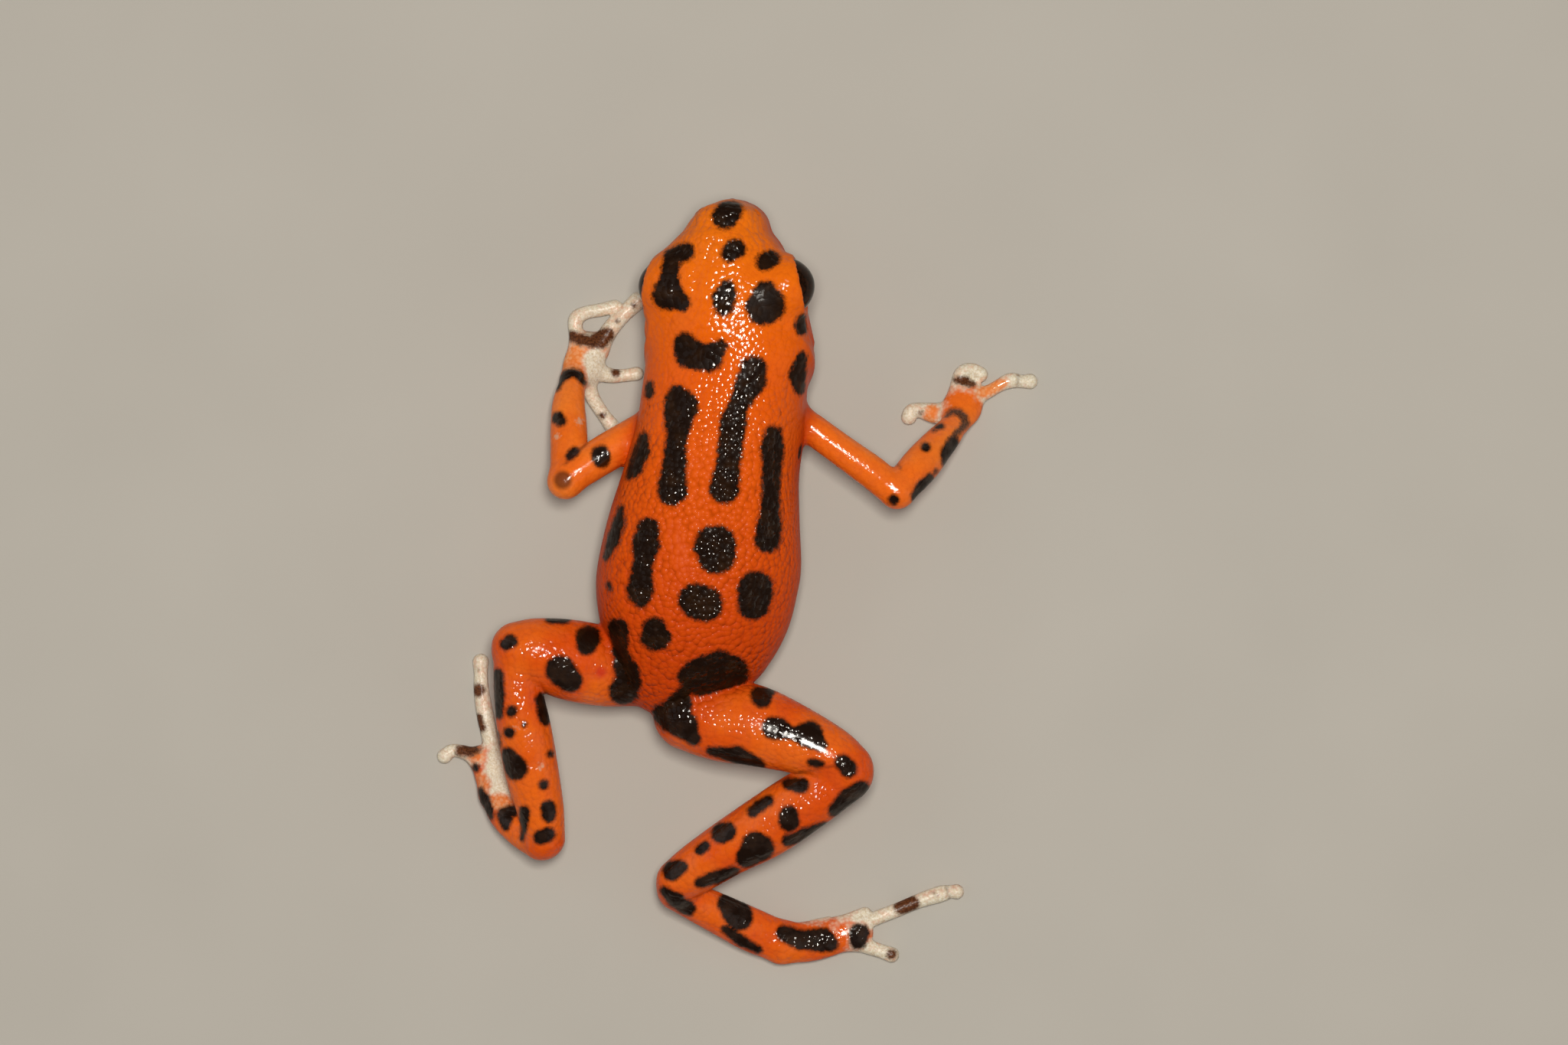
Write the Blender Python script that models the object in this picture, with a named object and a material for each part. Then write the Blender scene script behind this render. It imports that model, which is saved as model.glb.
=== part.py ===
"""Strawberry poison dart frog, a still model at life size, crouched on its four feet.

Tables are in millimetres. +X is the frog's right, +Y is where its snout points, +Z is up, and the
floor is z = 0. The origin is on the floor, under the middle of the frog's outline.
The body is one loft of upright sections, parted at the neck. A limb is a chain of tapering lofts,
parted in the plane that halves the angle at each joint, and its root is cut to the trunk's surface.
"""

import math

import bmesh
import bpy
import numpy as np
from mathutils import Vector

MM = 0.001
GAP = 0.30
UP = np.array((0.0, 0.0, 1.0))
ORIGIN = np.array((-0.17, -0.04, 0.0))  # the middle of the outline, as the tables place it
SIDES_BODY = 26
SIDES_LIMB = 14
SIDES_DIGIT = 8

# Stations of head and trunk, from the vent to the tip of the snout:
# y, middle x, half width, top z, bottom z, roll in degrees with the right side up
BODY = [
    (-5.20, -2.75, 0.35, 3.45, 2.75, -4),
    (-4.95, -2.65, 1.10, 4.00, 2.35, -4),
    (-4.50, -2.45, 1.85, 4.55, 1.95, -4),
    (-3.90, -2.12, 2.60, 5.15, 1.60, -5),
    (-2.90, -1.88, 3.14, 5.85, 1.20, -6),
    (-1.80, -1.79, 3.60, 6.40, 1.00, -6),
    (-0.60, -1.73, 3.86, 6.80, 0.92, -6),
    (0.60, -1.62, 3.93, 7.02, 0.90, -3),
    (2.40, -1.45, 3.70, 7.15, 1.00, 1),
    (4.10, -1.18, 3.42, 7.15, 1.20, 5),
    (5.90, -0.78, 3.26, 7.05, 1.50, 8),
    (7.40, -0.62, 3.18, 6.95, 1.85, 9),
    (8.60, -0.40, 3.26, 6.90, 2.20, 10),
    (10.00, -0.52, 3.14, 6.88, 2.60, 10),
    (11.30, -0.56, 2.80, 6.78, 2.90, 10),
    (12.50, -0.60, 2.35, 6.62, 3.12, 10),
    (13.00, -0.58, 2.08, 6.53, 3.20, 10),
    (13.45, -0.52, 1.68, 6.43, 3.30, 10),
    (14.00, -0.42, 1.40, 6.26, 3.46, 10),
    (14.40, -0.36, 0.96, 5.92, 3.68, 10),
    (14.62, -0.36, 0.48, 5.42, 4.05, 10),
]
WIDEST_AT = 0.42  # share of a section's height where it is widest
SQUARENESS = 2.3  # power of the section's curve: 2 is an ellipse
NECK_Y = 8.00

# Eyes: an eyeball under a domed lid, which opens outwards
EYE_Y = 11.30
EYE_OUT = 2.25
EYE_HEIGHT = 5.40
EYE_RADIUS = 1.18
EYE_FORWARD = 12  # degrees that an eye looks forward of straight sideways
EYE_DROP = 7  # degrees that it looks below the head's own level
HEAD_ROLL = 10
LID_RADIUS = 1.28
PUPIL_RADIUS = 0.86  # of the part of the eye that the lids leave open
EYE_BACK = 0.50  # how far out from its centre the eye's back lies

# Mouth: a line round the snout between two lips, swept by angle about a point in the throat
MOUTH_CENTRE = (-0.60, 10.60, 4.12)
MOUTH_SWEEP = 112
MOUTH_FALL = 0.40
MOUTH_STEPS = 25
LIP_RADIUS = 0.17
LIP_OFFSET = 0.17
LIP_SINK = 0.09
MOUTH_LINE_RADIUS = 0.09
NOSTRIL_RADIUS = 0.13
NOSTRIL_AIM = (0.72, 0.55, 0.12)
NOSTRIL_FROM = (-0.40, 13.35, 5.15)
EARDRUM_Y = 9.72
EARDRUM_Z = 4.85
EARDRUM_RADIUS = 0.42
EARDRUM_PROUD = 0.07

# Limb stations from the body outwards: x, y, z, half width, half height
UPPER_ARM_LEFT = [
    (-2.95, 6.25, 3.00, 0.76, 0.74),
    (-4.10, 5.60, 3.10, 0.76, 0.72),
    (-5.25, 4.95, 3.35, 0.74, 0.70),
    (-6.25, 4.30, 3.50, 0.70, 0.66),
    (-6.80, 3.87, 3.55, 0.64, 0.62),
]
FOREARM_LEFT = [
    (-6.77, 3.90, 3.50, 0.62, 0.62),
    (-6.67, 4.90, 3.00, 0.71, 0.68),
    (-6.69, 5.90, 2.40, 0.71, 0.66),
    (-6.71, 6.90, 1.80, 0.63, 0.58),
    (-6.57, 7.80, 1.15, 0.48, 0.46),
]
PALM_LEFT = [
    (-6.55, 7.82, 0.98, 0.46, 0.44),
    (-6.23, 8.40, 0.60, 0.74, 0.46),
    (-5.97, 9.03, 0.40, 0.74, 0.43),
]
UPPER_ARM_RIGHT = [
    (1.83, 6.50, 3.60, 0.62, 0.66),
    (2.80, 5.85, 3.75, 0.60, 0.62),
    (3.90, 5.05, 3.75, 0.61, 0.60),
    (5.08, 4.20, 3.65, 0.64, 0.62),
    (5.97, 3.45, 3.55, 0.62, 0.60),
]
FOREARM_RIGHT = [
    (6.11, 3.54, 3.50, 0.62, 0.60),
    (6.56, 4.08, 3.20, 0.72, 0.66),
    (7.02, 4.60, 2.80, 0.74, 0.66),
    (7.53, 5.20, 2.25, 0.67, 0.60),
    (8.00, 5.72, 1.70, 0.58, 0.52),
    (8.33, 6.15, 1.20, 0.48, 0.46),
]
PALM_RIGHT = [
    (8.39, 6.24, 1.00, 0.48, 0.44),
    (8.61, 6.78, 0.66, 0.76, 0.46),
    (8.76, 7.26, 0.42, 0.60, 0.43),
]
THIGH_LEFT = [
    (-4.38, -3.32, 2.95, 1.50, 1.28),
    (-5.40, -3.25, 3.25, 1.56, 1.36),
    (-6.67, -3.00, 3.62, 1.55, 1.33),
    (-7.84, -2.70, 3.95, 1.30, 1.20),
    (-8.63, -2.50, 4.05, 0.95, 0.98),
]
SHANK_LEFT = [
    (-8.61, -2.65, 4.00, 0.92, 0.92),
    (-8.60, -4.15, 3.85, 0.94, 0.92),
    (-8.38, -5.63, 3.62, 1.04, 0.98),
    (-8.10, -7.28, 3.35, 1.04, 0.94),
    (-7.79, -8.70, 3.05, 0.92, 0.84),
    (-7.60, -9.94, 2.70, 0.78, 0.74),
]
TARSUS_LEFT = [
    (-7.82, -10.10, 2.40, 0.68, 0.66),
    (-8.49, -9.74, 1.95, 0.64, 0.60),
    (-9.15, -9.09, 1.40, 0.66, 0.56),
    (-9.51, -8.30, 0.90, 0.68, 0.54),
]
SOLE_LEFT = [
    (-9.52, -8.24, 0.78, 0.68, 0.54),
    (-9.76, -7.55, 0.60, 0.66, 0.50),
    (-10.00, -6.96, 0.42, 0.60, 0.44),
]
THIGH_RIGHT = [
    (-1.96, -5.09, 3.30, 1.45, 1.40),
    (-0.83, -5.32, 3.50, 1.60, 1.40),
    (0.50, -5.55, 3.80, 1.56, 1.32),
    (2.12, -6.08, 4.05, 1.30, 1.18),
    (3.42, -6.66, 4.20, 1.10, 1.05),
    (4.10, -7.16, 4.20, 0.98, 0.95),
]
SHANK_RIGHT = [
    (4.04, -7.49, 4.00, 1.00, 0.95),
    (2.55, -8.38, 3.75, 1.19, 1.02),
    (1.02, -9.41, 3.42, 1.22, 1.00),
    (-0.42, -10.26, 3.10, 1.09, 0.94),
    (-1.69, -11.08, 2.75, 0.98, 0.84),
    (-2.44, -11.60, 2.45, 0.86, 0.78),
]
TARSUS_RIGHT = [
    (-2.52, -12.04, 2.05, 0.73, 0.70),
    (-1.75, -12.49, 1.75, 0.73, 0.63),
    (-0.70, -13.03, 1.36, 0.80, 0.58),
    (0.49, -13.63, 1.02, 0.85, 0.55),
    (1.53, -14.06, 0.78, 0.80, 0.53),
]
SOLE_RIGHT = [
    (1.62, -14.09, 0.72, 0.80, 0.53),
    (2.73, -14.09, 0.58, 0.74, 0.50),
    (3.92, -13.86, 0.44, 0.62, 0.46),
    (4.58, -13.75, 0.38, 0.56, 0.42),
]

# Digits from their root in the palm or sole to the tip: x, y, z, radius
FINGERS_LEFT = {
    "long": [
        (-6.33, 9.05, 0.42, 0.30),
        (-6.48, 9.78, 0.35, 0.28),
        (-6.45, 10.25, 0.32, 0.30),
        (-6.06, 10.49, 0.29, 0.26),
        (-5.47, 10.60, 0.25, 0.26),
        (-4.95, 10.72, 0.23, 0.27),
    ],
    "second": [
        (-5.60, 9.05, 0.42, 0.36),
        (-5.13, 9.83, 0.36, 0.34),
        (-4.63, 10.40, 0.31, 0.31),
        (-4.06, 10.94, 0.28, 0.35),
    ],
    "inner": [
        (-5.85, 8.24, 0.42, 0.38),
        (-5.15, 8.03, 0.32, 0.29),
        (-4.60, 8.03, 0.26, 0.25),
        (-4.10, 8.10, 0.23, 0.27),
    ],
    "hind": [
        (-6.06, 7.95, 0.48, 0.34),
        (-5.82, 7.17, 0.36, 0.28),
        (-5.41, 6.52, 0.29, 0.26),
        (-5.08, 6.07, 0.26, 0.30),
    ],
}
FINGERS_RIGHT = {
    "inner": [
        (8.11, 6.52, 0.50, 0.45),
        (7.52, 6.56, 0.43, 0.40),
        (6.92, 6.68, 0.33, 0.29),
        (6.62, 6.64, 0.28, 0.27),
        (6.53, 6.40, 0.26, 0.30),
    ],
    "second": [
        (8.50, 7.25, 0.44, 0.32),
        (8.47, 7.74, 0.36, 0.29),
        (8.65, 8.13, 0.32, 0.31),
        (9.00, 8.25, 0.27, 0.26),
        (9.32, 8.07, 0.26, 0.30),
    ],
    "long": [
        (9.00, 7.14, 0.44, 0.30),
        (9.60, 7.38, 0.38, 0.26),
        (10.08, 7.65, 0.33, 0.25),
        (10.50, 7.83, 0.30, 0.30),
        (10.95, 7.80, 0.25, 0.25),
        (11.26, 7.80, 0.25, 0.30),
    ],
    "short": [
        (8.65, 7.02, 0.38, 0.28),
        (8.89, 7.44, 0.28, 0.25),
        (9.10, 7.71, 0.22, 0.25),
    ],
}
TOES_LEFT = {
    "fourth": [
        (-9.73, -7.29, 0.46, 0.42),
        (-9.80, -6.31, 0.36, 0.32),
        (-10.01, -5.26, 0.33, 0.33),
        (-10.16, -4.31, 0.28, 0.30),
        (-10.19, -3.62, 0.26, 0.27),
        (-10.19, -3.16, 0.26, 0.32),
    ],
    "fifth": [
        (-10.24, -6.94, 0.42, 0.34),
        (-10.80, -6.70, 0.33, 0.27),
        (-11.30, -6.62, 0.26, 0.25),
        (-11.61, -6.84, 0.25, 0.29),
    ],
    "third": [
        (-9.56, -7.29, 0.42, 0.34),
        (-9.11, -6.76, 0.30, 0.27),
        (-8.87, -6.01, 0.26, 0.26),
        (-8.76, -5.36, 0.23, 0.27),
    ],
    "second": [
        (-9.47, -7.68, 0.40, 0.34),
        (-8.87, -7.39, 0.27, 0.26),
        (-8.45, -6.97, 0.22, 0.26),
    ],
    "first": [
        (-9.35, -8.04, 0.40, 0.34),
        (-8.81, -8.05, 0.27, 0.26),
        (-8.38, -7.90, 0.22, 0.26),
    ],
}
TOES_RIGHT = {
    "fourth": [
        (4.22, -13.60, 0.44, 0.36),
        (5.12, -13.21, 0.36, 0.28),
        (5.96, -12.89, 0.31, 0.27),
        (6.91, -12.50, 0.28, 0.28),
        (7.75, -12.23, 0.27, 0.32),
        (8.15, -12.14, 0.24, 0.25),
        (8.39, -12.14, 0.25, 0.29),
    ],
    "fifth": [
        (4.16, -13.99, 0.40, 0.34),
        (5.00, -14.30, 0.31, 0.29),
        (5.46, -14.46, 0.27, 0.27),
        (5.85, -14.60, 0.25, 0.30),
    ],
    "third": [
        (3.68, -13.54, 0.42, 0.32),
        (4.34, -13.18, 0.36, 0.27),
        (4.82, -13.01, 0.24, 0.27),
    ],
    "second": [
        (3.09, -13.60, 0.36, 0.30),
        (3.81, -13.36, 0.27, 0.25),
        (4.24, -13.20, 0.22, 0.25),
    ],
    "first": [
        (2.43, -13.66, 0.36, 0.30),
        (3.00, -13.46, 0.27, 0.25),
        (3.39, -13.36, 0.22, 0.25),
    ],
}

SKIN_ORANGE = (0.78, 0.10, 0.012)
LIMB_ORANGE = (0.80, 0.13, 0.03)
FOOT_CREAM = (0.62, 0.55, 0.42)
EYE_BLACK = (0.01, 0.008, 0.006)


def clear_scene():
    for thing in list(bpy.data.objects):
        bpy.data.objects.remove(thing)


def metres(point):
    """A point of the tables in metres from the part's origin."""
    return Vector(np.array(point) - ORIGIN) * MM


def unit(vector):
    return vector / np.linalg.norm(vector)


def smooth_rows(rows, steps):
    """Rows on a smooth curve through the given ones, steps to each span."""
    rows = np.array(rows, float)
    spans = len(rows) - 1
    padded = np.vstack([2 * rows[0] - rows[1], rows, 2 * rows[-1] - rows[-2]])
    made = []
    for place in np.linspace(0, spans, spans * steps + 1):
        i = min(int(place), spans - 1)
        u = place - i
        before, start, end, after = padded[i : i + 4]
        bend = 2 * before - 5 * start + 4 * end - after
        twist = 3 * start - before - 3 * end + after
        made.append(start + 0.5 * ((end - before) * u + bend * u**2 + twist * u**3))
    return np.array(made)


BODY_CURVE = smooth_rows(BODY, 8)


def body_section(y):
    """Middle x, half width, top z, bottom z and roll of the body's section at y."""
    return [np.interp(y, BODY_CURVE[:, 0], BODY_CURVE[:, k]) for k in range(1, 6)]


def body_ring(y, sides, grow=0.0):
    """The points of the body's section at y, each moved out by grow."""
    middle, half_width, top, bottom, roll = body_section(y)
    widest = bottom + WIDEST_AT * (top - bottom)
    tilt = math.radians(roll)
    ring = []
    for k in range(sides):
        angle = 2 * math.pi * k / sides
        c, s = math.cos(angle), math.sin(angle)
        rise = (top - widest if s > 0 else widest - bottom) + grow
        out = (half_width + grow) * math.copysign(abs(c) ** (2 / SQUARENESS), c)
        up = rise * math.copysign(abs(s) ** (2 / SQUARENESS), s)
        x = middle + out * math.cos(tilt) - up * math.sin(tilt)
        z = widest + out * math.sin(tilt) + up * math.cos(tilt)
        ring.append((x, y, z))
    return np.array(ring)


def in_body(point):
    """True where a point lies inside the head or trunk."""
    middle, half_width, top, bottom, roll = body_section(point[1])
    widest = bottom + WIDEST_AT * (top - bottom)
    tilt = math.radians(roll)
    dx, dz = point[0] - middle, point[2] - widest
    out = dx * math.cos(tilt) + dz * math.sin(tilt)
    up = dz * math.cos(tilt) - dx * math.sin(tilt)
    rise = top - widest if up > 0 else widest - bottom
    inside_y = BODY[0][0] < point[1] < BODY[-1][0]
    return inside_y and abs(out / half_width) ** SQUARENESS + abs(up / rise) ** SQUARENESS < 1


def body_surface(start, direction):
    """Where a ray from inside the body meets its surface."""
    near, far = 0.0, 8.0
    direction = unit(np.array(direction, float))
    for _ in range(30):
        half = (near + far) / 2
        if in_body(np.array(start) + direction * half):
            near = half
        else:
            far = half
    return np.array(start) + direction * near


def loft(name, rings, first_pole=None, last_pole=None):
    """A closed solid through rings of equal count, each end closed to a pole or its ring's middle."""
    bm = bmesh.new()
    rows = [[bm.verts.new(metres(p)) for p in ring] for ring in rings]
    for low, high in zip(rows, rows[1:]):
        for k in range(len(low)):
            following = (k + 1) % len(low)
            bm.faces.new((low[k], low[following], high[following], high[k]))
    for row, ring, pole in ((rows[0], rings[0], first_pole), (rows[-1], rings[-1], last_pole)):
        centre = np.mean(ring, axis=0) if pole is None else pole
        tip = bm.verts.new(metres(centre))
        for k in range(len(row)):
            bm.faces.new((row[k], row[(k + 1) % len(row)], tip))
    bmesh.ops.recalc_face_normals(bm, faces=bm.faces)
    mesh = bpy.data.meshes.new(name)
    bm.to_mesh(mesh)
    bm.free()
    return bpy.data.objects.new(name, mesh)


def body_loft(name, start_y, end_y, grow=0.0):
    """The body between two sections; an end at the snout or the vent is drawn to its pole."""
    low, high = BODY[0][0], BODY[-1][0]
    inner = [y for y in smooth_rows(BODY, 2)[:, 0] if start_y + 0.1 < y < end_y - 0.1]
    places = [max(start_y, low), *inner, min(end_y, high)]
    rings = [body_ring(y, SIDES_BODY, grow) for y in places]
    vent = np.mean(rings[0], axis=0) - (0, 0.12 + grow, 0)
    snout = np.mean(rings[-1], axis=0) + (0, 0.10 + grow, 0)
    return loft(
        name,
        rings,
        vent if start_y <= low else None,
        snout if end_y >= high else None,
    )


def tube(name, rows, sides, steps=2):
    """A tapering limb of oval section along its stations, with rounded ends."""
    rows = smooth_rows(rows, steps)
    centres, wide, high = rows[:, :3], rows[:, 3], rows[:, 4]
    ahead = np.gradient(centres, axis=0)
    rings = []

    def add_ring(centre, direction, half_width, half_height):
        across = unit(np.cross(direction, UP))
        over = np.cross(across, direction)
        angles = np.arange(sides) * 2 * math.pi / sides
        rings.append(
            centre
            + np.outer(np.cos(angles) * half_width, across)
            + np.outer(np.sin(angles) * half_height, over)
        )

    def add_end(row, sign, angles):
        direction = unit(ahead[row])
        for angle in angles:
            reach = sign * wide[row] * math.sin(math.radians(angle))
            shrink = math.cos(math.radians(angle))
            add_ring(
                centres[row] + direction * reach,
                direction,
                wide[row] * shrink,
                high[row] * shrink,
            )

    add_end(0, -1, (62, 32))
    for k in range(len(rows)):
        add_ring(centres[k], unit(ahead[k]), wide[k], high[k])
    add_end(len(rows) - 1, 1, (32, 62))
    first = centres[0] - unit(ahead[0]) * wide[0]
    last = centres[-1] + unit(ahead[-1]) * wide[-1]
    return loft(name, rings, first, last)


def digit(name, rows):
    """A finger or toe, round in section."""
    return tube(name, [(x, y, z, radius, radius) for x, y, z, radius in rows], SIDES_DIGIT, 2)


def turned(name, centre, axis, profile, sides):
    """A solid of revolution: profile holds distance along the axis and radius, tip to tip."""
    axis = unit(np.array(axis, float))
    across = unit(np.cross(axis, UP))
    over = np.cross(across, axis)
    angles = np.arange(sides) * 2 * math.pi / sides
    circle = np.outer(np.cos(angles), across) + np.outer(np.sin(angles), over)
    rings = [centre + axis * along + circle * radius for along, radius in profile[1:-1]]
    return loft(name, rings, centre + axis * profile[0][0], centre + axis * profile[-1][0])


def ball_profile(radius, steps=9):
    """The profile of a ball for turned()."""
    angles = np.linspace(-math.pi / 2, math.pi / 2, steps)
    return [(radius * math.sin(a), radius * math.cos(a)) for a in angles]


def keep_largest(part):
    """Leaves only the largest closed surface of a part, merged and in triangles."""
    bm = bmesh.new()
    bm.from_mesh(part.data)
    bmesh.ops.remove_doubles(bm, verts=bm.verts, dist=0.003 * MM)
    bmesh.ops.dissolve_degenerate(bm, edges=bm.edges, dist=0.002 * MM)
    bmesh.ops.triangulate(bm, faces=bm.faces)
    waiting = set(bm.verts)
    groups = []
    while waiting:
        group = [waiting.pop()]
        for vert in group:
            for edge in vert.link_edges:
                other = edge.other_vert(vert)
                if other in waiting:
                    waiting.remove(other)
                    group.append(other)
        groups.append(group)
    groups.sort(key=len)
    for group in groups[:-1]:
        bmesh.ops.delete(bm, geom=group, context="VERTS")
    bmesh.ops.recalc_face_normals(bm, faces=bm.faces)
    bm.to_mesh(part.data)
    bm.free()


def combine(part, pieces, operation):
    """Joins pieces to a part, or cuts them from it, and removes them."""
    tools = bpy.data.collections.new(part.name + "_tools")
    bpy.context.scene.collection.children.link(tools)
    for piece in pieces:
        tools.objects.link(piece)
    bpy.context.scene.collection.objects.link(part)
    modifier = part.modifiers.new("shape", "BOOLEAN")
    modifier.operation = operation
    modifier.operand_type = "COLLECTION"
    modifier.collection = tools
    modifier.solver = "EXACT"
    bpy.context.view_layer.objects.active = part
    bpy.ops.object.modifier_apply(modifier=modifier.name)
    bpy.context.scene.collection.objects.unlink(part)
    for piece in pieces:
        bpy.data.objects.remove(piece)
    bpy.data.collections.remove(tools)
    keep_largest(part)
    return part


def trim(part, point, normal):
    """Cuts a part off flat, and keeps the side that the normal points to."""
    bm = bmesh.new()
    bm.from_mesh(part.data)
    bmesh.ops.bisect_plane(
        bm,
        geom=[*bm.verts, *bm.edges, *bm.faces],
        dist=0.001 * MM,
        plane_co=metres(point),
        plane_no=Vector(normal),
        clear_inner=True,
    )
    rim = [edge for edge in bm.edges if edge.is_boundary]
    bmesh.ops.holes_fill(bm, edges=rim, sides=0)
    bm.to_mesh(part.data)
    bm.free()
    keep_largest(part)


def part_joint(near, far, near_rows, far_rows):
    """Parts two limb segments by a slot in the plane that halves the angle between them."""
    near_rows, far_rows = np.array(near_rows)[:, :3], np.array(far_rows)[:, :3]
    bend = (near_rows[-1] + far_rows[0]) / 2
    normal = unit(unit(near_rows[-2] - near_rows[-1]) - unit(far_rows[1] - far_rows[0]))
    trim(near, bend + normal * GAP / 2, normal)
    trim(far, bend - normal * GAP / 2, -normal)


def head_direction(out, forward, up):
    """A direction in the rolled head as a direction in the frog's frame."""
    tilt = math.radians(HEAD_ROLL)
    return np.array(
        (
            out * math.cos(tilt) - up * math.sin(tilt),
            forward,
            out * math.sin(tilt) + up * math.cos(tilt),
        )
    )


def eye_place(side):
    """Centre and axis of an eye; side is 1 on the right and -1 on the left."""
    middle = body_section(EYE_Y)[0]
    centre = np.array((middle, EYE_Y, EYE_HEIGHT)) + head_direction(side * EYE_OUT, 0, 0)
    forward, drop = math.radians(EYE_FORWARD), math.radians(EYE_DROP)
    level = math.cos(drop)
    axis = head_direction(
        side * math.cos(forward) * level, math.sin(forward) * level, -math.sin(drop)
    )
    return centre, axis


def eye(name, side):
    """The part of the eyeball that shows between the lids."""
    centre, axis = eye_place(side)
    widest = math.asin(PUPIL_RADIUS / EYE_RADIUS)
    dome = [
        (EYE_RADIUS * math.cos(a), EYE_RADIUS * math.sin(a)) for a in np.linspace(widest, 0, 6)
    ]
    profile = [(EYE_BACK, 0), (EYE_BACK, PUPIL_RADIUS), *dome]
    return turned(name, centre, axis, profile, 18)


def lid_dome(side):
    """The lids' dome, whose cut edge stands round the eye."""
    centre, axis = eye_place(side)
    return turned("lid_dome", centre, axis, ball_profile(LID_RADIUS), 20)


def eye_socket(side):
    """The space in which the eye lies, clear of it all round."""
    centre, axis = eye_place(side)
    bore = PUPIL_RADIUS + GAP * 0.85
    floor, mouth = EYE_BACK - GAP, EYE_RADIUS * 2
    return turned(
        "socket", centre, axis, [(floor, 0), (floor, bore), (mouth, bore), (mouth, 0)], 20
    )


def mouth_path(rise, sink):
    """Points along the mouth from corner to corner, raised by rise and sunk by sink."""
    path = []
    for degrees in np.linspace(-MOUTH_SWEEP, MOUTH_SWEEP, MOUTH_STEPS):
        angle = math.radians(degrees)
        fall = MOUTH_FALL * (degrees / MOUTH_SWEEP) ** 2
        start = np.array(MOUTH_CENTRE) + (0, 0, rise - fall)
        direction = unit(head_direction(math.sin(angle), math.cos(angle), 0))
        path.append(body_surface(start, direction) - direction * sink)
    return path


def mouth_tube(name, rise, sink, radius, sides):
    """A thin tube that follows the mouth."""
    rows = [(*point, radius, radius) for point in mouth_path(rise, sink)]
    return tube(name, rows, sides, 1)


def nostril(side):
    out, forward, up = NOSTRIL_AIM
    direction = head_direction(side * out, forward, up)
    centre = body_surface(NOSTRIL_FROM, direction)
    return turned("nostril", centre, direction, ball_profile(NOSTRIL_RADIUS, 6), 8)


def eardrum(side):
    """The round eardrum behind the eye, a low disc on the skin."""
    start = (body_section(EARDRUM_Y)[0], EARDRUM_Y, EARDRUM_Z)
    direction = head_direction(side, 0, 0.12)
    centre = body_surface(start, direction)
    profile = [
        (-0.3, 0),
        (-0.3, EARDRUM_RADIUS),
        (EARDRUM_PROUD * 0.4, EARDRUM_RADIUS),
        (EARDRUM_PROUD, EARDRUM_RADIUS * 0.8),
        (EARDRUM_PROUD, 0),
    ]
    return turned("eardrum", centre, direction, profile, 12)


def head():
    """Head with domed lids round the open eyes, lips, mouth line, nostrils and eardrums."""
    made = body_loft("head", NECK_Y + GAP / 2, BODY[-1][0])
    raised = [
        lid_dome(-1),
        lid_dome(1),
        eardrum(-1),
        eardrum(1),
        mouth_tube("upper_lip", LIP_OFFSET, LIP_SINK, LIP_RADIUS, 8),
        mouth_tube("lower_lip", -LIP_OFFSET, LIP_SINK, LIP_RADIUS, 8),
    ]
    combine(made, raised, "UNION")
    sunk = [
        eye_socket(-1),
        eye_socket(1),
        nostril(-1),
        nostril(1),
        mouth_tube("mouth_line", 0, -0.03, MOUTH_LINE_RADIUS, 6),
    ]
    return combine(made, sunk, "DIFFERENCE")


def trunk_cutter():
    """The trunk with the gap added, to cut a limb's root to its surface."""
    return body_loft("trunk_cutter", BODY[0][0], NECK_Y + GAP, GAP)


def foot(name, rows, digits):
    """Palm or sole with its digits, on small flats at floor level."""
    made = tube(name, rows, SIDES_LIMB)
    combine(made, [digit(name + "_" + key, line) for key, line in digits.items()], "UNION")
    return made


def limb(side, chain):
    """A limb's segments, parted at the joints; the root is cut to the trunk."""
    parts = []
    for name, rows, digits in chain:
        full_name = f"{name}_{side}"
        made = foot(full_name, rows, digits) if digits else tube(full_name, rows, SIDES_LIMB)
        parts.append(made)
    for k in range(len(parts) - 1):
        part_joint(parts[k], parts[k + 1], chain[k][1], chain[k + 1][1])
    trim(parts[-1], (0, 0, 0), (0, 0, 1))
    combine(parts[0], [trunk_cutter()], "DIFFERENCE")
    return parts


def material(name, colour, roughness):
    made = bpy.data.materials.new(name)
    made.use_nodes = True
    shader = made.node_tree.nodes["Principled BSDF"]
    shader.inputs["Base Color"].default_value = (*colour, 1)
    shader.inputs["Roughness"].default_value = roughness
    shader.inputs["Metallic"].default_value = 0
    return made


def finish(part, collection, colour, roughness):
    """Puts a part in the model's collection, smooth but for its cut edges, in its own material."""
    collection.objects.link(part)
    part.data.shade_smooth()
    part.data.set_sharp_from_angle(angle=math.radians(40))
    part.data.materials.clear()
    part.data.materials.append(material(part.name, colour, roughness))


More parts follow.
